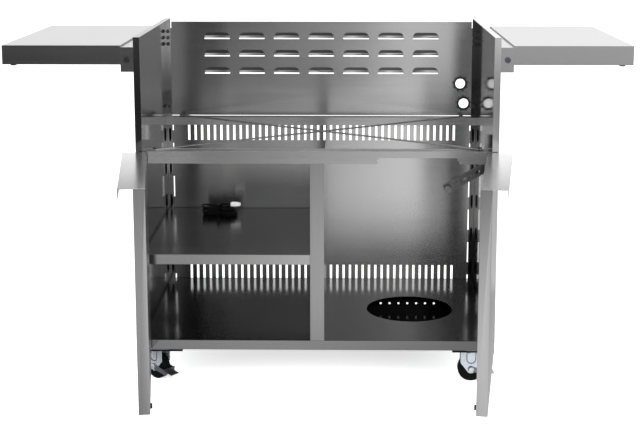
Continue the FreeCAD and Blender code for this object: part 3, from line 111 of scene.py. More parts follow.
# Each half turn: size step, layers climbed before it, change of its reach and lift of its end in mm
HALF_TURNS = ((3, 0, 1.0, 0.0), (2, 0, 0.0, 0.0), (1, 0, 1.0, 0.0), (0, 0, 0.0, 0.0),
              (1, 1, 0.0, 0.0), (2, 0, 3.0, 1.0), (3, 0, 0.0, 0.0),
              (2, 1, 0.0, 2.0), (1, 0, -3.0, 0.0), (0, 0, 0.0, 2.0),
              (1, 1, 0.0, 0.0), (2, 0, 3.0, 5.0))


def waist_offsets():
    """How far from the middle the lead passes the tie before each half turn, and after the last."""
    offsets = []
    before = HALF_TURNS[0][0] + 1
    for size, climb, _, _ in HALF_TURNS:
        middle = (before + size) / 2
        if climb:
            middle = before + (-0.5 if size > before else 0.5)
        offsets.append(WAIST_LEAST + (middle + 0.5) * WAIST_STEP / 2)
        before = size
    return offsets + [WAIST_LEAST + (before + 1) * WAIST_STEP / 2]


def shoulder(radius, waist, centre):
    """Angle by which a turn reaches back round its centre to meet the waist."""
    bend = (waist ** 2 + centre ** 2 - radius ** 2) / (2 * (radius - waist))
    return math.asin(centre / (bend + radius))


hank_turned = Matrix.Rotation(HANK_TURN, 4, "Z")
hank_place = Matrix.Translation(Vector(HANK_PLACE) * MM) @ hank_turned @ Matrix.Scale(MM, 4)
waists = waist_offsets()
hank_top = LAYER * sum(turn[1] for turn in HALF_TURNS)
plug_start = Vector((PLUG_START, waists[-1], hank_top + CORD / 2 + TIE_ROOM + PLUG_HEIGHT / 2))
print("hank: waists", [round(w, 1) for w in waists], "top layer", hank_top)

# %% The lead's control points, from the barrel end to the white plug
route = []
layer = 0.0
for number, (size, climb, reach, lift) in enumerate(HALF_TURNS):
    hand = 1 if number % 2 == 0 else -1
    radius = TURN_LEAST + size * TURN_STEP / 2
    centre = TURN_CENTRE + reach
    below = layer
    layer += climb * LAYER
    enter = shoulder(radius, waists[number], centre) if number else 0.0
    sweep = math.pi + enter + shoulder(radius, waists[number + 1], centre)
    if number == 0:
        route += [(BARREL_END, radius, 0), (BARREL_END + CORD, radius, 0)]
    else:
        route.append((-hand * WAIST_REACH, hand * waists[number], below))
        route.append((hand * WAIST_REACH, hand * waists[number], layer))
    corner = sweep / TURN_CORNERS
    outer = radius / math.cos(corner / 2)
    for place in range(TURN_CORNERS):
        angle = math.pi / 2 + enter - (place + 0.5) * corner
        end = layer + lift * max(math.cos(angle), 0.0)
        reached = centre + outer * math.cos(angle)
        route.append((hand * reached, hand * outer * math.sin(angle), end))
climb_end = plug_start.z - layer
route.append((-WAIST_REACH, waists[-1], layer + CLIMB_BEFORE_TIE * climb_end))
route.append((WAIST_REACH, waists[-1], layer + CLIMB_AFTER_TIE * climb_end))
route += [plug_start - Vector((2 * CORD, 0, 0)), plug_start]
print("lead:", len(route), "control points")

# %% The lead's curve
curve = bpy.data.curves.new("lead", "CURVE")
curve.dimensions = "3D"
curve.bevel_depth = 1.0
curve.bevel_resolution = 4
curve.resolution_u = 8
curve.use_fill_caps = True
spline = curve.splines.new("NURBS")
spline.points.add(len(route) - 1)
for control, point in zip(spline.points, route):
    control.co = (*(hank_place @ Vector(point)), 1.0)
    control.radius = CORD / 2 * MM
spline.order_u = 3
spline.use_endpoint_u = True
lead = bpy.data.objects.new("lead", curve)
scene.collection.objects.link(lead)
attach(lead, "cabinet")
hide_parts("cord_hank")
print("lead:", CORD, "mm thick")

# %% [markdown]
# Shader maths
# A finish is a graph of nodes. Written by hand each node takes several lines, so one small class wraps
# a socket: adding or multiplying such sockets adds the Math nodes that do it. All other nodes come
# from one method, which sets the node up and then fills or links its sockets.


# %% A socket that can be used in an expression
class Socket:
    """An output of a shader node."""

    def __init__(self, finish, socket):
        self.finish = finish
        self.socket = socket

    def math(self, operation, first, second):
        return self.finish.add("ShaderNodeMath", {"operation": operation}, {0: first, 1: second})["Value"]

    def __add__(self, other):
        return self.math("ADD", self, other)

    def __sub__(self, other):
        return self.math("SUBTRACT", self, other)

    def __rsub__(self, other):
        return self.math("SUBTRACT", other, self)

    def __mul__(self, other):
        return self.math("MULTIPLY", self, other)

    __radd__ = __add__
    __rmul__ = __mul__

    def least(self, other):
        return self.math("MINIMUM", self, other)

    def most(self, other):
        return self.math("MAXIMUM", self, other)

    def size(self):
        return self.math("ABSOLUTE", self, 0.0)


# %% A node tree with one method that adds any node
class Finish:
    """Nodes of a material or of the room."""

    def __init__(self, owner):
        owner.use_nodes = True
        self.owner = owner
        self.tree = owner.node_tree
        self.tree.nodes.clear()

    def add(self, kind, settings, inputs):
        node = self.tree.nodes.new(kind)
        for key, value in settings.items():
            if key == "stops":
                self.set_stops(node.color_ramp, value)
            else:
                setattr(node, key, value)
        for key, value in inputs.items():
            target = node.inputs[key] if isinstance(key, int) else self.named(node.inputs, key)
            if isinstance(value, Socket):
                self.tree.links.new(value.socket, target)
            else:
                target.default_value = value
        return {out.name: Socket(self, out) for out in node.outputs if out.enabled}

    @staticmethod
    def named(sockets, name):
        return next(socket for socket in sockets if socket.enabled and socket.name == name)

    @staticmethod
    def set_stops(ramp, stops):
        while len(ramp.elements) < len(stops):
            ramp.elements.new(1.0)
        for element, (place, shade) in zip(ramp.elements, stops):
            element.position = place
            element.color = grey(shade)

    def ramp(self, value, stops):
        return self.add("ShaderNodeValToRGB", {"stops": stops}, {"Fac": value})["Color"]

    def span(self, value, low, high, start=0.0, stop=1.0):
        """Smooth change from start to stop while a value goes from low to high."""
        made = self.add("ShaderNodeMapRange", {"interpolation_type": "SMOOTHSTEP"}, {
            "Value": value, "From Min": low, "From Max": high, "To Min": start, "To Max": stop})
        return made["Result"]

    def mix(self, share, first, second, blend="MIX"):
        made = self.add("ShaderNodeMix", {"data_type": "RGBA", "blend_type": blend}, {
            "Factor": share, "A": first, "B": second})
        return made["Result"]

    def place(self):
        return self.add("ShaderNodeTexCoord", {}, {})["Object"]

    def stretched(self, vector, scale):
        return self.add("ShaderNodeVectorMath", {"operation": "MULTIPLY"}, {0: vector, 1: scale})["Vector"]

    def noise(self, vector, scale, detail=2.0, roughness=0.5):
        return self.add("ShaderNodeTexNoise", {}, {
            "Vector": vector, "Scale": scale, "Detail": detail, "Roughness": roughness})["Fac"]

    def bump(self, height, strength, distance):
        return self.add("ShaderNodeBump", {}, {
            "Height": height, "Strength": strength, "Distance": distance})["Normal"]

    def principled(self, inputs):
        shader = self.add("ShaderNodeBsdfPrincipled", {}, inputs)["BSDF"]
        return self.surface(shader)

    def surface(self, shader):
        self.add("ShaderNodeOutputMaterial", {}, {"Surface": shader})
        return self.owner


def grey(value):
    return (value, value, value, 1.0)


print("shader helpers ready")

# %% [markdown]
# Brushed stainless sheet
# Every panel is sheet steel with a brushed grain. A belt leaves fine scratches in one direction, so
# a light in the sheet is drawn out across the grain. Three things make that here: noise pulled out
# along the grain for the streaks, a small bump of the same streaks, and on the back panels and rails
# the shader's own anisotropy, which draws reflections out up and down. The side walls are nearly
# mirrors, and the level sheets inside are smoother than doors and post, because they are left as rolled.
# Light and shade are painted into the steel's tone: each part has the tone that it shows in its place,
# lips and folds get painted light and shade, and pressings, the gaps at the walls and the left end
# inside get painted shade.

# %% Grain of the sheets, where they fold and join, and where light and shade are painted on them
ALONG_X = (5.0, 480.0, 480.0)
ALONG_Y = (700.0, 6.0, 700.0)
ALONG_Z = (700.0, 700.0, 2.5)
BRUSH_TURN = 0.25
SCRATCH_DEPTH = 0.0003
FINE_SHARE = 0.6
BAND_SCALE = 0.12
CLOUD_SCALE = 3.5
STREAK_TONE = 0.34
CLOUD_TONE = 0.12
STREAK_ROUGH = 0.10
CLOUD_ROUGH = 0.06
# Where the upright lips of level sheets get their painted light and shade
LIP_HALF = 0.42
LIP_SLOPE = (0.3, 0.8)
# Faces of an upright sheet that turn away from front and back, for painted shade on its pressings
PRESSED_SLOPE = (0.90, 0.985)
BACK_MIDDLE = 0.4924
BACK_BLUR = 0.0002
# Where the painted shade at the left end of a sheet's inside fades in
LEFT_SHADE_END = -0.30
LEFT_SHADE_START = -0.24
# Width and tone of the painted shade in the gap at the side walls
GAP_SHADE_BLUR = 0.0012
GAP_SHADE_TONE = 0.012
FRONT_FOLD = -0.066
REAR_FOLD = 0.484
FOLD_BLUR = 0.004
print("side walls fold at", FRONT_FOLD, "and", REAR_FOLD)


# %% The stainless finish
def stainless(name, tone, rough, grain, anisotropy=0.0, lip_light_and_shade=None, pressed_shade=None, gap_shade_from=None,
              fold_light_and_shade=None, bump=0.03, edge_on=1.0, dull=0.0):
    """Brushed sheet. grain is the noise's scale along X, Y and Z, low along the brushing. The lip tones
    are painted light and shade on a level sheet's upright lips, at its left and right. The pressed tone
    is painted shade where an upright sheet is pressed or cut, and the fold tones are painted light and
    shade on a side wall's front and rear folds. The gap distance is how far from the middle a painted
    shade of the gap at the side wall starts, on the inside of the cabinet. edge_on is how much of a
    mirror the sheet becomes when it is seen along its surface, and dull is painted shade: how much
    darker the left end of the sheet is painted, on its inside."""
    f = Finish(bpy.data.materials.new(name))
    here = f.place()
    at = f.add("ShaderNodeSeparateXYZ", {}, {"Vector": here})
    normal = f.add("ShaderNodeNewGeometry", {}, {})["Normal"]
    faces = f.add("ShaderNodeSeparateXYZ", {}, {"Vector": normal})
    fine = f.noise(f.stretched(here, grain), 1.0, 3.0, 0.6)
    bands = f.noise(f.stretched(here, tuple(BAND_SCALE * g for g in grain)), 1.0, 2.0)
    clouds = f.noise(here, CLOUD_SCALE, 3.0)
    streak = (fine - 0.5) * FINE_SHARE + (bands - 0.5) * (1 - FINE_SHARE)
    lightness = streak * STREAK_TONE + clouds * CLOUD_TONE + (1 - CLOUD_TONE / 2)
    base = f.mix(lightness, grey(0.0), grey(tone))
    # Painted light and shade: the upright lips get their own tone, changing from left to right
    if lip_light_and_shade:
        lip_painted_tone = f.mix(f.span(at["X"], -LIP_HALF, LIP_HALF), grey(lip_light_and_shade[0]), grey(lip_light_and_shade[1]))
        lip_painted_base = f.mix(lightness, grey(0.0), lip_painted_tone)
        base = f.mix(f.span(faces["Z"].size(), *LIP_SLOPE), lip_painted_base, base)
    # Painted shade on the pressed and cut faces of an upright sheet, such as the louvre hoods
    if pressed_shade:
        base = f.mix(f.span(faces["Y"].size(), *PRESSED_SLOPE), grey(pressed_shade), base)
    if dull or gap_shade_from:
        inside = 1 - f.span(at["Y"], BACK_MIDDLE - BACK_BLUR, BACK_MIDDLE + BACK_BLUR)
    # Painted shade: the left end of the sheet's inside is darkened
    if dull:
        base = f.mix(f.span(at["X"], LEFT_SHADE_END, LEFT_SHADE_START, dull, 0.0) * inside, base, grey(0.0))
    # Painted shade of the gap at the side walls: a nearly black band along the inside edges
    if gap_shade_from:
        gap_shade_mask = f.span(at["X"].size(), gap_shade_from, gap_shade_from + GAP_SHADE_BLUR) * inside
        base = f.mix(gap_shade_mask, base, grey(GAP_SHADE_TONE))
    # Painted light and shade on the side wall's front and rear folds
    if fold_light_and_shade:
        front, rear = fold_light_and_shade
        base = f.mix(f.span(at["Y"], FRONT_FOLD, FRONT_FOLD + FOLD_BLUR), grey(front), base)
        base = f.mix(f.span(at["Y"], REAR_FOLD - FOLD_BLUR, REAR_FOLD), base, grey(rear))
    roughness = streak * STREAK_ROUGH + clouds * CLOUD_ROUGH + (rough - CLOUD_ROUGH / 2)
    return f.principled({
        "Base Color": base, "Metallic": 1.0, "Roughness": roughness,
        "Normal": f.bump(fine, bump, SCRATCH_DEPTH), "Anisotropic": anisotropy,
        "Anisotropic Rotation": BRUSH_TURN, "Specular Tint": grey(edge_on)})


print("stainless finish ready")

# %% Every stainless sheet of the cart
# One steel, but each part's tone is the brightness it shows in its place: painted light and shade
back_steel = stainless("back_steel", 0.66, 0.21, ALONG_X, 0.87, pressed_shade=0.16, gap_shade_from=0.4160,
                       bump=0.01, dull=0.35)
# The two walls are lit and shaded copies of one steel, with painted tones on their folds
left_wall_steel = stainless("left_wall_steel", 0.64, 0.09, ALONG_Y, fold_light_and_shade=(0.50, 0.50), edge_on=0.6)
right_wall_steel = stainless("right_wall_steel", 0.46, 0.09, ALONG_Y, fold_light_and_shade=(0.62, 0.16))
post_steel = stainless("post_steel", 0.45, 0.30, ALONG_Z)
rail_steel = stainless("rail_steel", 0.58, 0.28, ALONG_X, 0.5)
# Floor and shelf are darker, their lips lighter: painted shade inside the cabinet, painted light on the
# lips
floor_steel = stainless("floor_steel", 0.24, 0.14, ALONG_X, lip_light_and_shade=(0.62, 0.20), gap_shade_from=0.4238, bump=0.01)
shelf_steel = stainless("shelf_steel", 0.24, 0.19, ALONG_X, lip_light_and_shade=(0.52, 0.52), gap_shade_from=0.4238, bump=0.01)
# The tank pan is painted nearly black: painted shade in the tank hole
pan_shade_steel = stainless("pan_shade_steel", 0.04, 0.12, ALONG_X, bump=0.01)
tray_steel = stainless("tray_steel", 0.46, 0.24, ALONG_X)
door_steel = stainless("door_steel", 0.46, 0.26, ALONG_Z, bump=0.015)
handle_steel = stainless("handle_steel", 0.85, 0.24, ALONG_Y)
arm_steel = stainless("arm_steel", 0.28, 0.22, ALONG_Z)
print("stainless finishes:", [m.name for m in bpy.data.materials if m.name.endswith("_steel")])

# %% [markdown]
# Plated steel
# The caster forks, their axle bolts, the base channels and the tank arm's bracket are zinc plated. Zinc
# is a little bluish and dries in faint clouds, so soft noise shifts its colour and its roughness. The
# pressed ribs of the forks are painted a darker zinc: painted shade along the ribs. Hinges, brake
# pedals and the tank arm's knob are satin nickel, darker and more even, and the other bolts and the
# pins are plated dark. The caster plates are painted nearly black: painted shade under the cart.


# %% Zinc, nickel, dark plating, and painted shade on fork ribs and caster plates
GRIT_RATIO = 14
GRIT_ROUGH = 0.06
GRIT_BUMP = 0.04
GRIT_DEPTH = 0.0003
CLOUD_RANGE = (0.3, 0.7)


def plated(name, dark, light, rough, cell, spread, metal=1.0):
    """Plated metal with faint clouds between two tints; a milky plating is not fully metallic."""
    f = Finish(bpy.data.materials.new(name))
    here = f.place()
    clouds = f.noise(here, cell, 3.0, 0.6)
    grit = f.noise(here, cell * GRIT_RATIO, 2.0, 0.6)
    shade = f.span(clouds, *CLOUD_RANGE)
    return f.principled({
        "Base Color": f.mix(shade, (*dark, 1.0), (*light, 1.0)), "Metallic": metal,
        "Roughness": clouds * spread + grit * GRIT_ROUGH + rough,
        "Normal": f.bump(grit, GRIT_BUMP, GRIT_DEPTH)})


zinc = plated("zinc_plate", (0.68, 0.73, 0.80), (0.82, 0.87, 0.94),
              rough=0.10, cell=45.0, spread=0.16, metal=0.8)
# Painted shade: the fork ribs are a darker copy of the zinc
rib_shade_zinc = plated("rib_shade_zinc", (0.20, 0.22, 0.25), (0.32, 0.35, 0.39),
                  rough=0.18, cell=45.0, spread=0.16)
nickel = plated("satin_nickel", (0.24, 0.24, 0.25), (0.36, 0.36, 0.37),
                rough=0.22, cell=40.0, spread=0.12)
# Painted shade: the caster plates are painted nearly black under the cart
caster_plate_shade = plated("caster_plate_shade", (0.02, 0.02, 0.022), (0.06, 0.06, 0.066),
                    rough=0.3, cell=60.0, spread=0.16)
bolt_plate = plated("bolt_plate", (0.09, 0.09, 0.095), (0.20, 0.20, 0.21),
                    rough=0.20, cell=90.0, spread=0.14)
print("plated finishes: zinc, ribs, nickel, dark plate, bolts")

# %% [markdown]
# Rubber and moulded plastic
# The wheels, grommets and bumpers are black rubber, the lead's jacket is black plastic and the lead's
# plug is white. Moulded parts are never one flat colour: they carry a fine texture of the mould and a
# dull sheen, so colour, roughness and bump all come from noise.

# %% Dull finishes
MOULD_CLOUDS = 0.2
MOULD_CLOUD_SHARE = 0.6
MOULD_ROUGH = 0.2
MOULD_DEPTH = 0.0005


def moulded(name, low, high, rough, cell, bump, sheen=0.45):
    """Moulded rubber or plastic, between two shades, with the grain of its mould."""
    f = Finish(bpy.data.materials.new(name))
    here = f.place()
    clouds = f.noise(here, cell * MOULD_CLOUDS, 3.0, 0.6)
    grain = f.noise(here, cell, 3.0, 0.65)
    share = clouds * MOULD_CLOUD_SHARE + grain * (1 - MOULD_CLOUD_SHARE)
    return f.principled({
        "Base Color": f.mix(share, grey(low), grey(high)),
        "Roughness": (grain - 0.5) * MOULD_ROUGH + rough,
        "Normal": f.bump(grain, bump, MOULD_DEPTH), "Specular IOR Level": sheen})


tyre_rubber = moulded("wheel_rubber", 0.001, 0.006, rough=0.55, cell=700.0, bump=0.16, sheen=0.07)
soft_rubber = moulded("soft_rubber", 0.004, 0.018, rough=0.58, cell=900.0, bump=0.12)
jacket = moulded("lead_jacket", 0.001, 0.005, rough=0.45, cell=1200.0, bump=0.1, sheen=0.12)
plug_white = moulded("plug_white", 0.74, 0.86, rough=0.4, cell=900.0, bump=0.05)
lead.data.materials.append(jacket)
print("dull finishes: rubber, jacket, plug")

# %% [markdown]
# Dressing the solids
# Each solid keeps its shape and takes its finish by name. Folded sheet has no razor edges, so a Weld
# joins the doubled points of the solids' meshes, and a Bevel then rounds the folds and cut edges by a
# fraction of the sheet, which catches the light as the real folds do.

# %% Finish of every solid by the start of its name, and its edge radius in millimetres
DRESS = [
    ("side_panel_left", left_wall_steel, 0.45), ("side_panel_right", right_wall_steel, 0.45),
    ("upper_back_panel", back_steel, 0.12), ("lower_back_panel", back_steel, 0.12),
    ("floor_pan", floor_steel, 0.5), ("tank_pan", pan_shade_steel, 0.4), ("front_rail", rail_steel, 0.5),
    ("rear_rail", rail_steel, 0.5), ("brace_straps", rail_steel, 0.4), ("centre_post", post_steel, 0.5),
    ("divider_panel", left_wall_steel, 0.3), ("middle_shelf", shelf_steel, 0.5),
    ("wall_bracket", tray_steel, 0.5), ("shelf_tray_", tray_steel, 0.5),
    ("shelf_brackets", tray_steel, 0.6),
    ("door_skin_", door_steel, 0.5), ("door_liner_", door_steel, 0.3), ("door_handle_", handle_steel, 0.5),
    ("base_channels", zinc, 0.4),
    ("tank_arm_bracket", zinc, 0.5), ("tank_arm_knob", nickel, 0.5), ("tank_arm", arm_steel, 0.6),
    ("hinge_arms", nickel, 0.6), ("hinge_leaves_", nickel, 0.5), ("hinge_pins", bolt_plate, 0.4),
    ("shelf_pins", bolt_plate, 0.6), ("panel_bolts", bolt_plate, 0.8), ("brace_washers", bolt_plate, 0.4),
    ("brace_bolts", bolt_plate, 0.8), ("caster_bolts", bolt_plate, 0.8),
    ("caster_kingpins", bolt_plate, 0.6),
    ("caster_plates", caster_plate_shade, 0.8), ("caster_fork_", zinc, 0.9), ("caster_axle_", bolt_plate, 0.8),
    ("caster_wheel_", tyre_rubber, 0.0), ("brake_pedal_", nickel, 0.6),
    ("hose_grommets", soft_rubber, 0.6), ("door_bumper_", soft_rubber, 1.2),
    ("shelf_bumpers_", soft_rubber, 0.9), ("cord_connector", plug_white, 0.6),
    ("cord_barrel", jacket, 0.6), ("cord_tie", jacket, 0.3), ("cord_hank", jacket, 0.0),
]
WELD_REACH = 0.000002
FOLD_ANGLE = math.radians(40)


def dress(thing, finish, edge):
    """Gives a solid its finish and rounds its edges without touching its mesh."""
    thing.data.materials.clear()
    thing.data.materials.append(finish)
    if edge:
        weld = thing.modifiers.new("weld", "WELD")
        weld.merge_threshold = WELD_REACH
        bevel = thing.modifiers.new("edges", "BEVEL")
        bevel.width = edge * MM
        bevel.segments = 2
        bevel.limit_method = "ANGLE"
        bevel.angle_limit = FOLD_ANGLE
        bevel.harden_normals = True


for name, thing in nodes.items():
    finish, edge = next((finish, edge) for start, finish, edge in DRESS if name.startswith(start))
    dress(thing, finish, edge)
print("dressed", len(nodes), "solids")

# %% [markdown]
# Small helpers for added parts
# Most added parts are turned or pressed, so two helpers make them: one turns a profile round an axis
# and one sweeps a small section along a line. A third puts the mesh on the part of the cart that
# carries it.


# %% Turned parts and swept parts
def skin(work, rings):
    """Joins rings of points into a surface; a ring may be a single point."""
    for low, high in zip(rings, rings[1:]):
        count = max(len(low), len(high))
        for number in range(count):
            after = (number + 1) % count
            corners = [low[number % len(low)], low[after % len(low)],
                       high[after % len(high)], high[number % len(high)]]
            unique = list(dict.fromkeys(corners))
            if len(unique) > 2:
                work.faces.new(unique)


def turned(work, profile, place, sides=24):
    """Turns (radius, height) points round Z, closed by the points on the axis."""
    rings = []
    for radius, height in profile:
        count = sides if radius else 1
        angles = [2 * math.pi * number / sides for number in range(count)]
        points = [Vector((radius * math.cos(a), radius * math.sin(a), height)) for a in angles]
        rings.append([work.verts.new(place @ point) for point in points])
    skin(work, rings)


def swept(work, path, section, across, place):
    """Carries a section of (side, height) points along a flat path; height is along `across`."""
    rings = []
    for number, point in enumerate(path):
        before = path[max(number - 1, 0)]
        after = path[min(number + 1, len(path) - 1)]
        sideways = across.cross(after - before).normalized()
        corners = [point + sideways * side + across * height for side, height in section]
        rings.append([work.verts.new(place @ corner) for corner in corners])
    skin(work, rings)
    work.faces.new(rings[0])
    work.faces.new(rings[-1])


print("helpers that make meshes ready")

# %% Placing a part on the cart
SMOOTH_ANGLE = math.radians(35)


def add_piece(name, work, body, finish, replaced=()):
    """Turns a mesh's faces outward, smooths its soft edges and puts it on a part of the cart."""
    bmesh.ops.recalc_face_normals(work, faces=work.faces[:])
    for face in work.faces:
        face.smooth = True
    for edge in work.edges:
        edge.smooth = len(edge.link_faces) == 2 and edge.calc_face_angle() < SMOOTH_ANGLE
    mesh = bpy.data.meshes.new(name)
    work.to_mesh(mesh)
    work.free()
    mesh.materials.append(finish)
    thing = bpy.data.objects.new(name, mesh)
    scene.collection.objects.link(thing)
    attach(thing, body)
    if replaced:
        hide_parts(*replaced)
    return thing


def facing(origin, axis):
    """Placement in metres of a part drawn in millimetres along +Z."""
    turn = Vector(axis).to_track_quat("Z", "Y").to_matrix().to_4x4()
    return Matrix.Translation(Vector(origin) * MM) @ turn @ Matrix.Scale(MM, 4)


print("helpers that place parts ready")

# %% [markdown]
# Bolts and grommets of the back panel
# The upper back panel is held by button-head bolts, whose heads are domes with a socket for the key.
# The two hose holes are lined with rubber rings that hold by small lugs all round, and these lugs stand
# out against the steel. Both are small, so a short profile and a short path are enough.

# %% Socket domes on the bolt heads
BOLT_X = 421.9
HEAD_Y = 555.6 + FRONT_SHIFT
HEAD_LEVELS = (609.0, 781.0, 798.5, 816.0)
DOME = ((0, -0.6), (5.0, -0.6), (4.7, 0.3), (3.6, 1.0), (2.6, 1.3), (2.3, 1.2), (2.1, -0.2), (0, -0.3))
work = bmesh.new()
for x in (-BOLT_X, BOLT_X):
    for z in HEAD_LEVELS:
        turned(work, DOME, facing((x, HEAD_Y, z), (0, -1, 0)))
add_piece("bolt_domes", work, "cabinet", bolt_plate)
print("bolt domes:", 2 * len(HEAD_LEVELS))

# %% Lugs of the grommets
RING_Y = 558.0 + FRONT_SHIFT
RINGS = ((384.0, 672.0), (394.0, 617.0))
LUGS = 9
FIRST_LUG = 0.3
LUG_PATH = (Vector((17.5, 0, 0.2)), Vector((20.5, 0, -0.2)), Vector((22.6, 0, -0.9)))
LUG_SECTION = ((-1.7, -0.9), (1.7, -0.9), (1.3, 0.7), (-1.3, 0.7))
work = bmesh.new()
for x, z in RINGS:
    for number in range(LUGS):
        spin = Matrix.Rotation(2 * math.pi * (number + FIRST_LUG) / LUGS, 4, "Z")
        lug_place = facing((x, RING_Y, z), (0, -1, 0)) @ spin
        swept(work, LUG_PATH, LUG_SECTION, Vector((0, 0, 1)), lug_place)
add_piece("grommet_lugs", work, "cabinet", soft_rubber)
print("lugs:", LUGS * len(RINGS))

# %% [markdown]
# Casters
# A pressed fork is stiffened by a rib shaped like a U on each leg, and its wheel turns on a hex bolt
# with a locking nut. The ribs are swept along a U and stand less than a millimetre proud. The bolt
# replaces the plain axle; a fork with a brake pedal needs a longer one, because the pedal's arms
# sit on the same bolt.

# %% Sizes of the casters in millimetres, and the line of a rib
# Each caster: name, places from the middle and from the front, heading in degrees, brake pedal or not
CASTERS = (("front_left", -388, 51, 142, True), ("front_right", 388, 51, 180, True),
           ("rear_left", -388, 509, 20, False), ("rear_right", 388, 509, 115, False))
LEG_FACE = 15.7
PEDAL_SEAT = 18.3
AXLE = Vector((10.0, 0.0, 32.5))
RIB_HALF = 11.0
RIB_TOP = 74.0
RIB_LOW = 58.0
RIB_SECTION = ((-1.6, -0.4), (-0.9, 0.7), (0.9, 0.7), (1.6, -0.4))
SHANK = ((0, -1), (4.0, -1), (4.0, 1), (0, 1))
HEX_HEAD = ((0, 0), (7.0, 0), (7.0, 3.0), (6.2, 3.9), (0, 3.9))
LOCK_NUT = ((0, 0), (7.0, 0), (7.0, 2.7), (6.0, 3.1), (4.6, 3.3), (4.4, 4.0), (3.2, 4.0),
            (3.0, 3.4), (0, 3.4))
HEX = 6
U_STEPS = 8
bend = [math.pi * (1 + step / U_STEPS) for step in range(U_STEPS + 1)]
u_line = ([Vector((-RIB_HALF, 0, RIB_TOP))]
          + [Vector((RIB_HALF * math.cos(a), 0, RIB_LOW + RIB_HALF * math.sin(a))) for a in bend]
          + [Vector((RIB_HALF, 0, RIB_TOP))])
print("rib line:", len(u_line), "points")

# %% Ribs and axle bolts of the four casters
for name, x, y, heading, braked in CASTERS:
    swivel = Matrix.Rotation(math.radians(heading), 4, "Z")
    stand = Matrix.Translation(Vector((x, y + FRONT_SHIFT, 0)) * MM) @ swivel @ Matrix.Scale(MM, 4)
    seat = PEDAL_SEAT if braked else LEG_FACE
    work = bmesh.new()
    for side in (-1, 1):
        path = [point + Vector((AXLE.x, side * LEG_FACE, 0)) for point in u_line]
        swept(work, path, RIB_SECTION, Vector((0, side, 0)), stand)
    # The ribs take the darker zinc: painted shade along them
    add_piece("fork_ribs_" + name, work, "caster_" + name, rib_shade_zinc)
    work = bmesh.new()
    along = stand @ Matrix.Translation(AXLE) @ Matrix.Rotation(math.radians(-90), 4, "X")
    turned(work, [(r, seat * h) for r, h in SHANK], along)
    turned(work, [(r, seat + h) for r, h in HEX_HEAD], along, HEX)
    turned(work, [(r, -seat - h) for r, h in LOCK_NUT], along, HEX)
    add_piece("axle_bolt_" + name, work, "caster_" + name, zinc, ["caster_axle_" + name])
print("casters:", len(CASTERS), "with ribs and axle bolts")

# %% [markdown]
# Plug of the lead
# The white plug at the lead's end is a small two-part housing: a grip with ribs for the fingers and
# a narrower, hollow nose. It is drawn in slices along its length, each a rectangle with cut corners.

# %% White housing with its ribs and nose
PLUG_LENGTH = 27.0
# Each slice: place along the plug, width and height
SLICES = ((0.0, 9.0, 7.0), (1.2, 12.6, 9.4), (3.0, 14.4, 10.6), (5.0, 13.2, 9.6), (6.0, 14.6, 10.8),
          (8.0, 13.2, 9.6), (9.0, 14.6, 10.8), (11.0, 13.2, 9.6), (12.0, 14.6, 10.8),
          (17.0, 14.8, PLUG_HEIGHT), (17.4, 12.2, 9.0), (26.2, 12.0, 8.8), (PLUG_LENGTH, 11.2, 8.0),
          (PLUG_LENGTH, 9.6, 6.4), (21.0, 9.4, 6.2))
EDGE = 0.8
work = bmesh.new()
rings = []
for along, wide, tall in SLICES:
    half = wide / 2
    rise = tall / 2
    lower = [(-half, EDGE - rise), (EDGE - half, -rise), (half - EDGE, -rise), (half, EDGE - rise)]
    upper = [(half, rise - EDGE), (half - EDGE, rise), (EDGE - half, rise), (-half, rise - EDGE)]
    points = [plug_start + Vector((along, side, up)) for side, up in lower + upper]
    rings.append([work.verts.new(hank_place @ point) for point in points])
skin(work, rings)
work.faces.new(rings[0])
work.faces.new(rings[-1])
plug = add_piece("plug_housing", work, "cabinet", plug_white, ["cord_connector"])
print("plug housing", PLUG_LENGTH, "mm long")

# %% [markdown]
# Floor
# The cart stands on a plain white floor that runs on past the picture. It shows as white where the
# camera looks at it and still takes the soft shadow of the cart, because a part of its brightness is
# its own and the rest is light that falls on it. What the steel mirrors of it is painted light and
# shade, which only the steel sees. Near the cart it is lightest in front of the middle. Further out
# it is dark on the left, with a painted patch of light right of the middle, and very far out it gets
# lighter again. A painted shadow of the cart dims it near the cart.

# %% The floor's plane
FLOOR_HALF = 30.0
floor_mesh = bpy.data.meshes.new("studio_floor")
floor_corners = [(-FLOOR_HALF, -FLOOR_HALF, 0), (FLOOR_HALF, -FLOOR_HALF, 0),
                 (FLOOR_HALF, FLOOR_HALF, 0), (-FLOOR_HALF, FLOOR_HALF, 0)]
floor_mesh.from_pydata(floor_corners, [], [(0, 1, 2, 3)])
floor = bpy.data.objects.new("studio_floor", floor_mesh)
scene.collection.objects.link(floor)
print("floor", 2 * FLOOR_HALF, "m wide")

# %% Painted light and shade that the steel mirrors of the floor
STUDIO_WIDTH = 4.8
# Painted light and shade that only the steel mirrors; the floor itself is plain
FAR_TONES = [(0.0, 0.03), (0.27, 0.03), (0.34, 0.06), (0.40, 0.15), (0.46, 0.20), (0.5, 0.18),
             (0.54, 0.18), (0.57, 0.27), (0.61, 0.85), (0.65, 0.90), (0.69, 0.5), (0.74, 0.30),
             (0.94, 0.60)]
CLOSE_TONES = [(0.0, 0.72), (0.13, 0.62), (0.26, 0.15), (0.34, 0.20), (0.40, 0.44), (0.44, 0.58),
               (0.5, 0.85), (0.56, 1.15), (0.62, 1.0), (0.70, 0.5), (0.8, 0.7)]
CLOSE_EDGE = (-3.1, -2.3)
FAR_EDGE = (-8.5, -4.5)
FAR_GAIN = (1.9, 0.7)
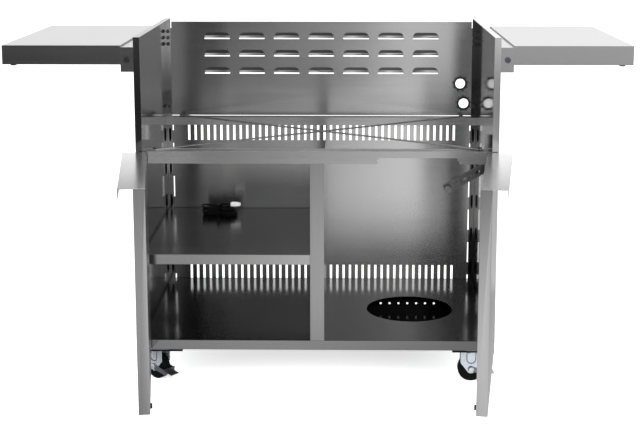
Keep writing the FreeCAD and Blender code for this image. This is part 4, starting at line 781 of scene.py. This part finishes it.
# Painted shadow of the cart in what the steel mirrors, near and under the cart
SHADOW_FRONT = (-0.9, -0.25)
SHADOW_REAR = (0.45, 0.9)
SHADOW_TONE = 0.60
f = Finish(bpy.data.materials.new("studio_floor"))
spot = f.add("ShaderNodeSeparateXYZ", {}, {"Vector": f.place()})
across = spot["X"] * (1 / STUDIO_WIDTH) + 0.5
far = f.ramp(across, FAR_TONES)
close = f.ramp(across, CLOSE_TONES)
shade = f.span(spot["Y"], *SHADOW_FRONT, 1.0, SHADOW_TONE).most(f.span(spot["Y"], *SHADOW_REAR))
far_out = f.mix(1.0, far, f.span(spot["Y"], *FAR_EDGE, *FAR_GAIN), "MULTIPLY")
mirrored = f.mix(f.span(spot["Y"], *CLOSE_EDGE), far_out, close)
mirrored_with_painted_shadow = f.mix(1.0, mirrored, shade, "MULTIPLY")
mirror_look = f.add("ShaderNodeEmission", {}, {"Color": mirrored_with_painted_shadow})["Emission"]
print("mirrored floor:", len(FAR_TONES), "far tones,", len(CLOSE_TONES), "close tones")

# %% What the camera sees of the floor
FLOOR_GLOW = 0.61
FLOOR_TONE = 0.9
FLOOR_TONE_UNSEEN = 0.8
rays = f.add("ShaderNodeLightPath", {}, {})
glow = f.add("ShaderNodeEmission", {}, {"Color": grey(FLOOR_GLOW)})["Emission"]
lit = f.add("ShaderNodeBsdfDiffuse", {}, {"Color": grey(FLOOR_TONE)})["BSDF"]
seen = f.add("ShaderNodeAddShader", {}, {0: glow, 1: lit})["Shader"]
plain = f.add("ShaderNodeBsdfDiffuse", {}, {"Color": grey(FLOOR_TONE_UNSEEN)})["BSDF"]
direct = (rays["Is Camera Ray"] + rays["Is Transmission Ray"]).least(1.0)
shown = f.add("ShaderNodeMixShader", {}, {0: direct, 1: plain, 2: seen})["Shader"]
whole = f.add("ShaderNodeMixShader", {}, {0: rays["Is Glossy Ray"], 1: shown, 2: mirror_look})["Shader"]
floor_mesh.materials.append(f.surface(whole))
print("floor glow", FLOOR_GLOW, "tone", FLOOR_TONE)

# %% [markdown]
# Light
# Soft light comes from a pale room and from four large lamps: one above, a wide one in front and one on
# each side. The lamps stay out of the reflections, because steel would show each as a hard white box.
# The room that the steel mirrors is brightest behind the cart, where it turns the tops of the side
# shelves white, and dimmer in front. The room that lights the floor is brighter in front, so that the
# shadow stays under the cart.

# %% Room
FRONT_TONES = [(0.0, 0.5), (0.15, 0.15), (0.25, 0.05), (0.36, 0.10), (0.42, 0.17), (0.48, 0.22),
               (0.53, 0.24), (0.56, 0.48), (0.58, 0.95), (0.60, 1.0), (0.64, 0.46), (0.8, 0.55),
               (1.0, 0.85)]
REAR_TONES = [(0.2, 1.12), (0.8, 1.32)]
MIRROR_TURN = (-0.2, 0.75)
ROOM_TURN = (-0.8, 0.8)
ROOM_FRONT = 1.6
ROOM_REAR = 0.4
BACKDROP = 1.0
world = bpy.data.worlds.new("studio")
scene.world = world
w = Finish(world)
rays = w.add("ShaderNodeLightPath", {}, {})
way = w.add("ShaderNodeSeparateXYZ", {}, {"Vector": w.add("ShaderNodeTexCoord", {}, {})["Generated"]})
front_tone = w.ramp(way["X"] + 0.5, FRONT_TONES)
rear_tone = w.ramp(way["X"] + 0.5, REAR_TONES)
mirror_tone = w.mix(w.span(way["Y"], *MIRROR_TURN), front_tone, rear_tone)
mirror_room = w.add("ShaderNodeBackground", {}, {"Color": mirror_tone})["Background"]
room_tone = w.mix(w.span(way["Y"], *ROOM_TURN), grey(ROOM_FRONT), grey(ROOM_REAR))
room = w.add("ShaderNodeBackground", {}, {"Color": room_tone})["Background"]
backdrop = w.add("ShaderNodeBackground", {}, {"Color": grey(BACKDROP)})["Background"]
steel_sees = w.add("ShaderNodeMixShader", {}, {0: rays["Is Glossy Ray"], 1: room, 2: mirror_room})["Shader"]
direct = (rays["Is Camera Ray"] + rays["Is Transmission Ray"]).least(1.0)
everything = w.add("ShaderNodeMixShader", {}, {0: direct, 1: steel_sees, 2: backdrop})["Shader"]
w.add("ShaderNodeOutputWorld", {}, {"Surface": everything})
print("room:", len(FRONT_TONES), "tones in front,", len(REAR_TONES), "behind")


# %% Lamps
def lamp(name, place, target, width, height, power):
    """A soft rectangular lamp that looks at a target and isn't mirrored."""
    data = bpy.data.lights.new(name, "AREA")
    data.shape = "RECTANGLE"
    data.size = width
    data.size_y = height
    data.energy = power
    thing = bpy.data.objects.new(name, data)
    thing.location = place
    thing.rotation_euler = (Vector(target) - Vector(place)).to_track_quat("-Z", "Y").to_euler()
    thing.visible_glossy = False
    scene.collection.objects.link(thing)


lamp("lamp_above", (0.0, -0.3, 2.9), (0, 0, 0.4), width=2.4, height=1.8, power=24.0)
lamp("lamp_front", (0.0, -3.4, 2.0), (0, 0, 0.0), width=4.0, height=1.6, power=170.0)
lamp("lamp_left", (-2.6, -1.6, 1.5), (0, 0, 0.5), width=0.9, height=1.8, power=16.0)
lamp("lamp_right", (2.5, -1.9, 1.5), (0, 0, 0.5), width=0.9, height=1.8, power=26.0)
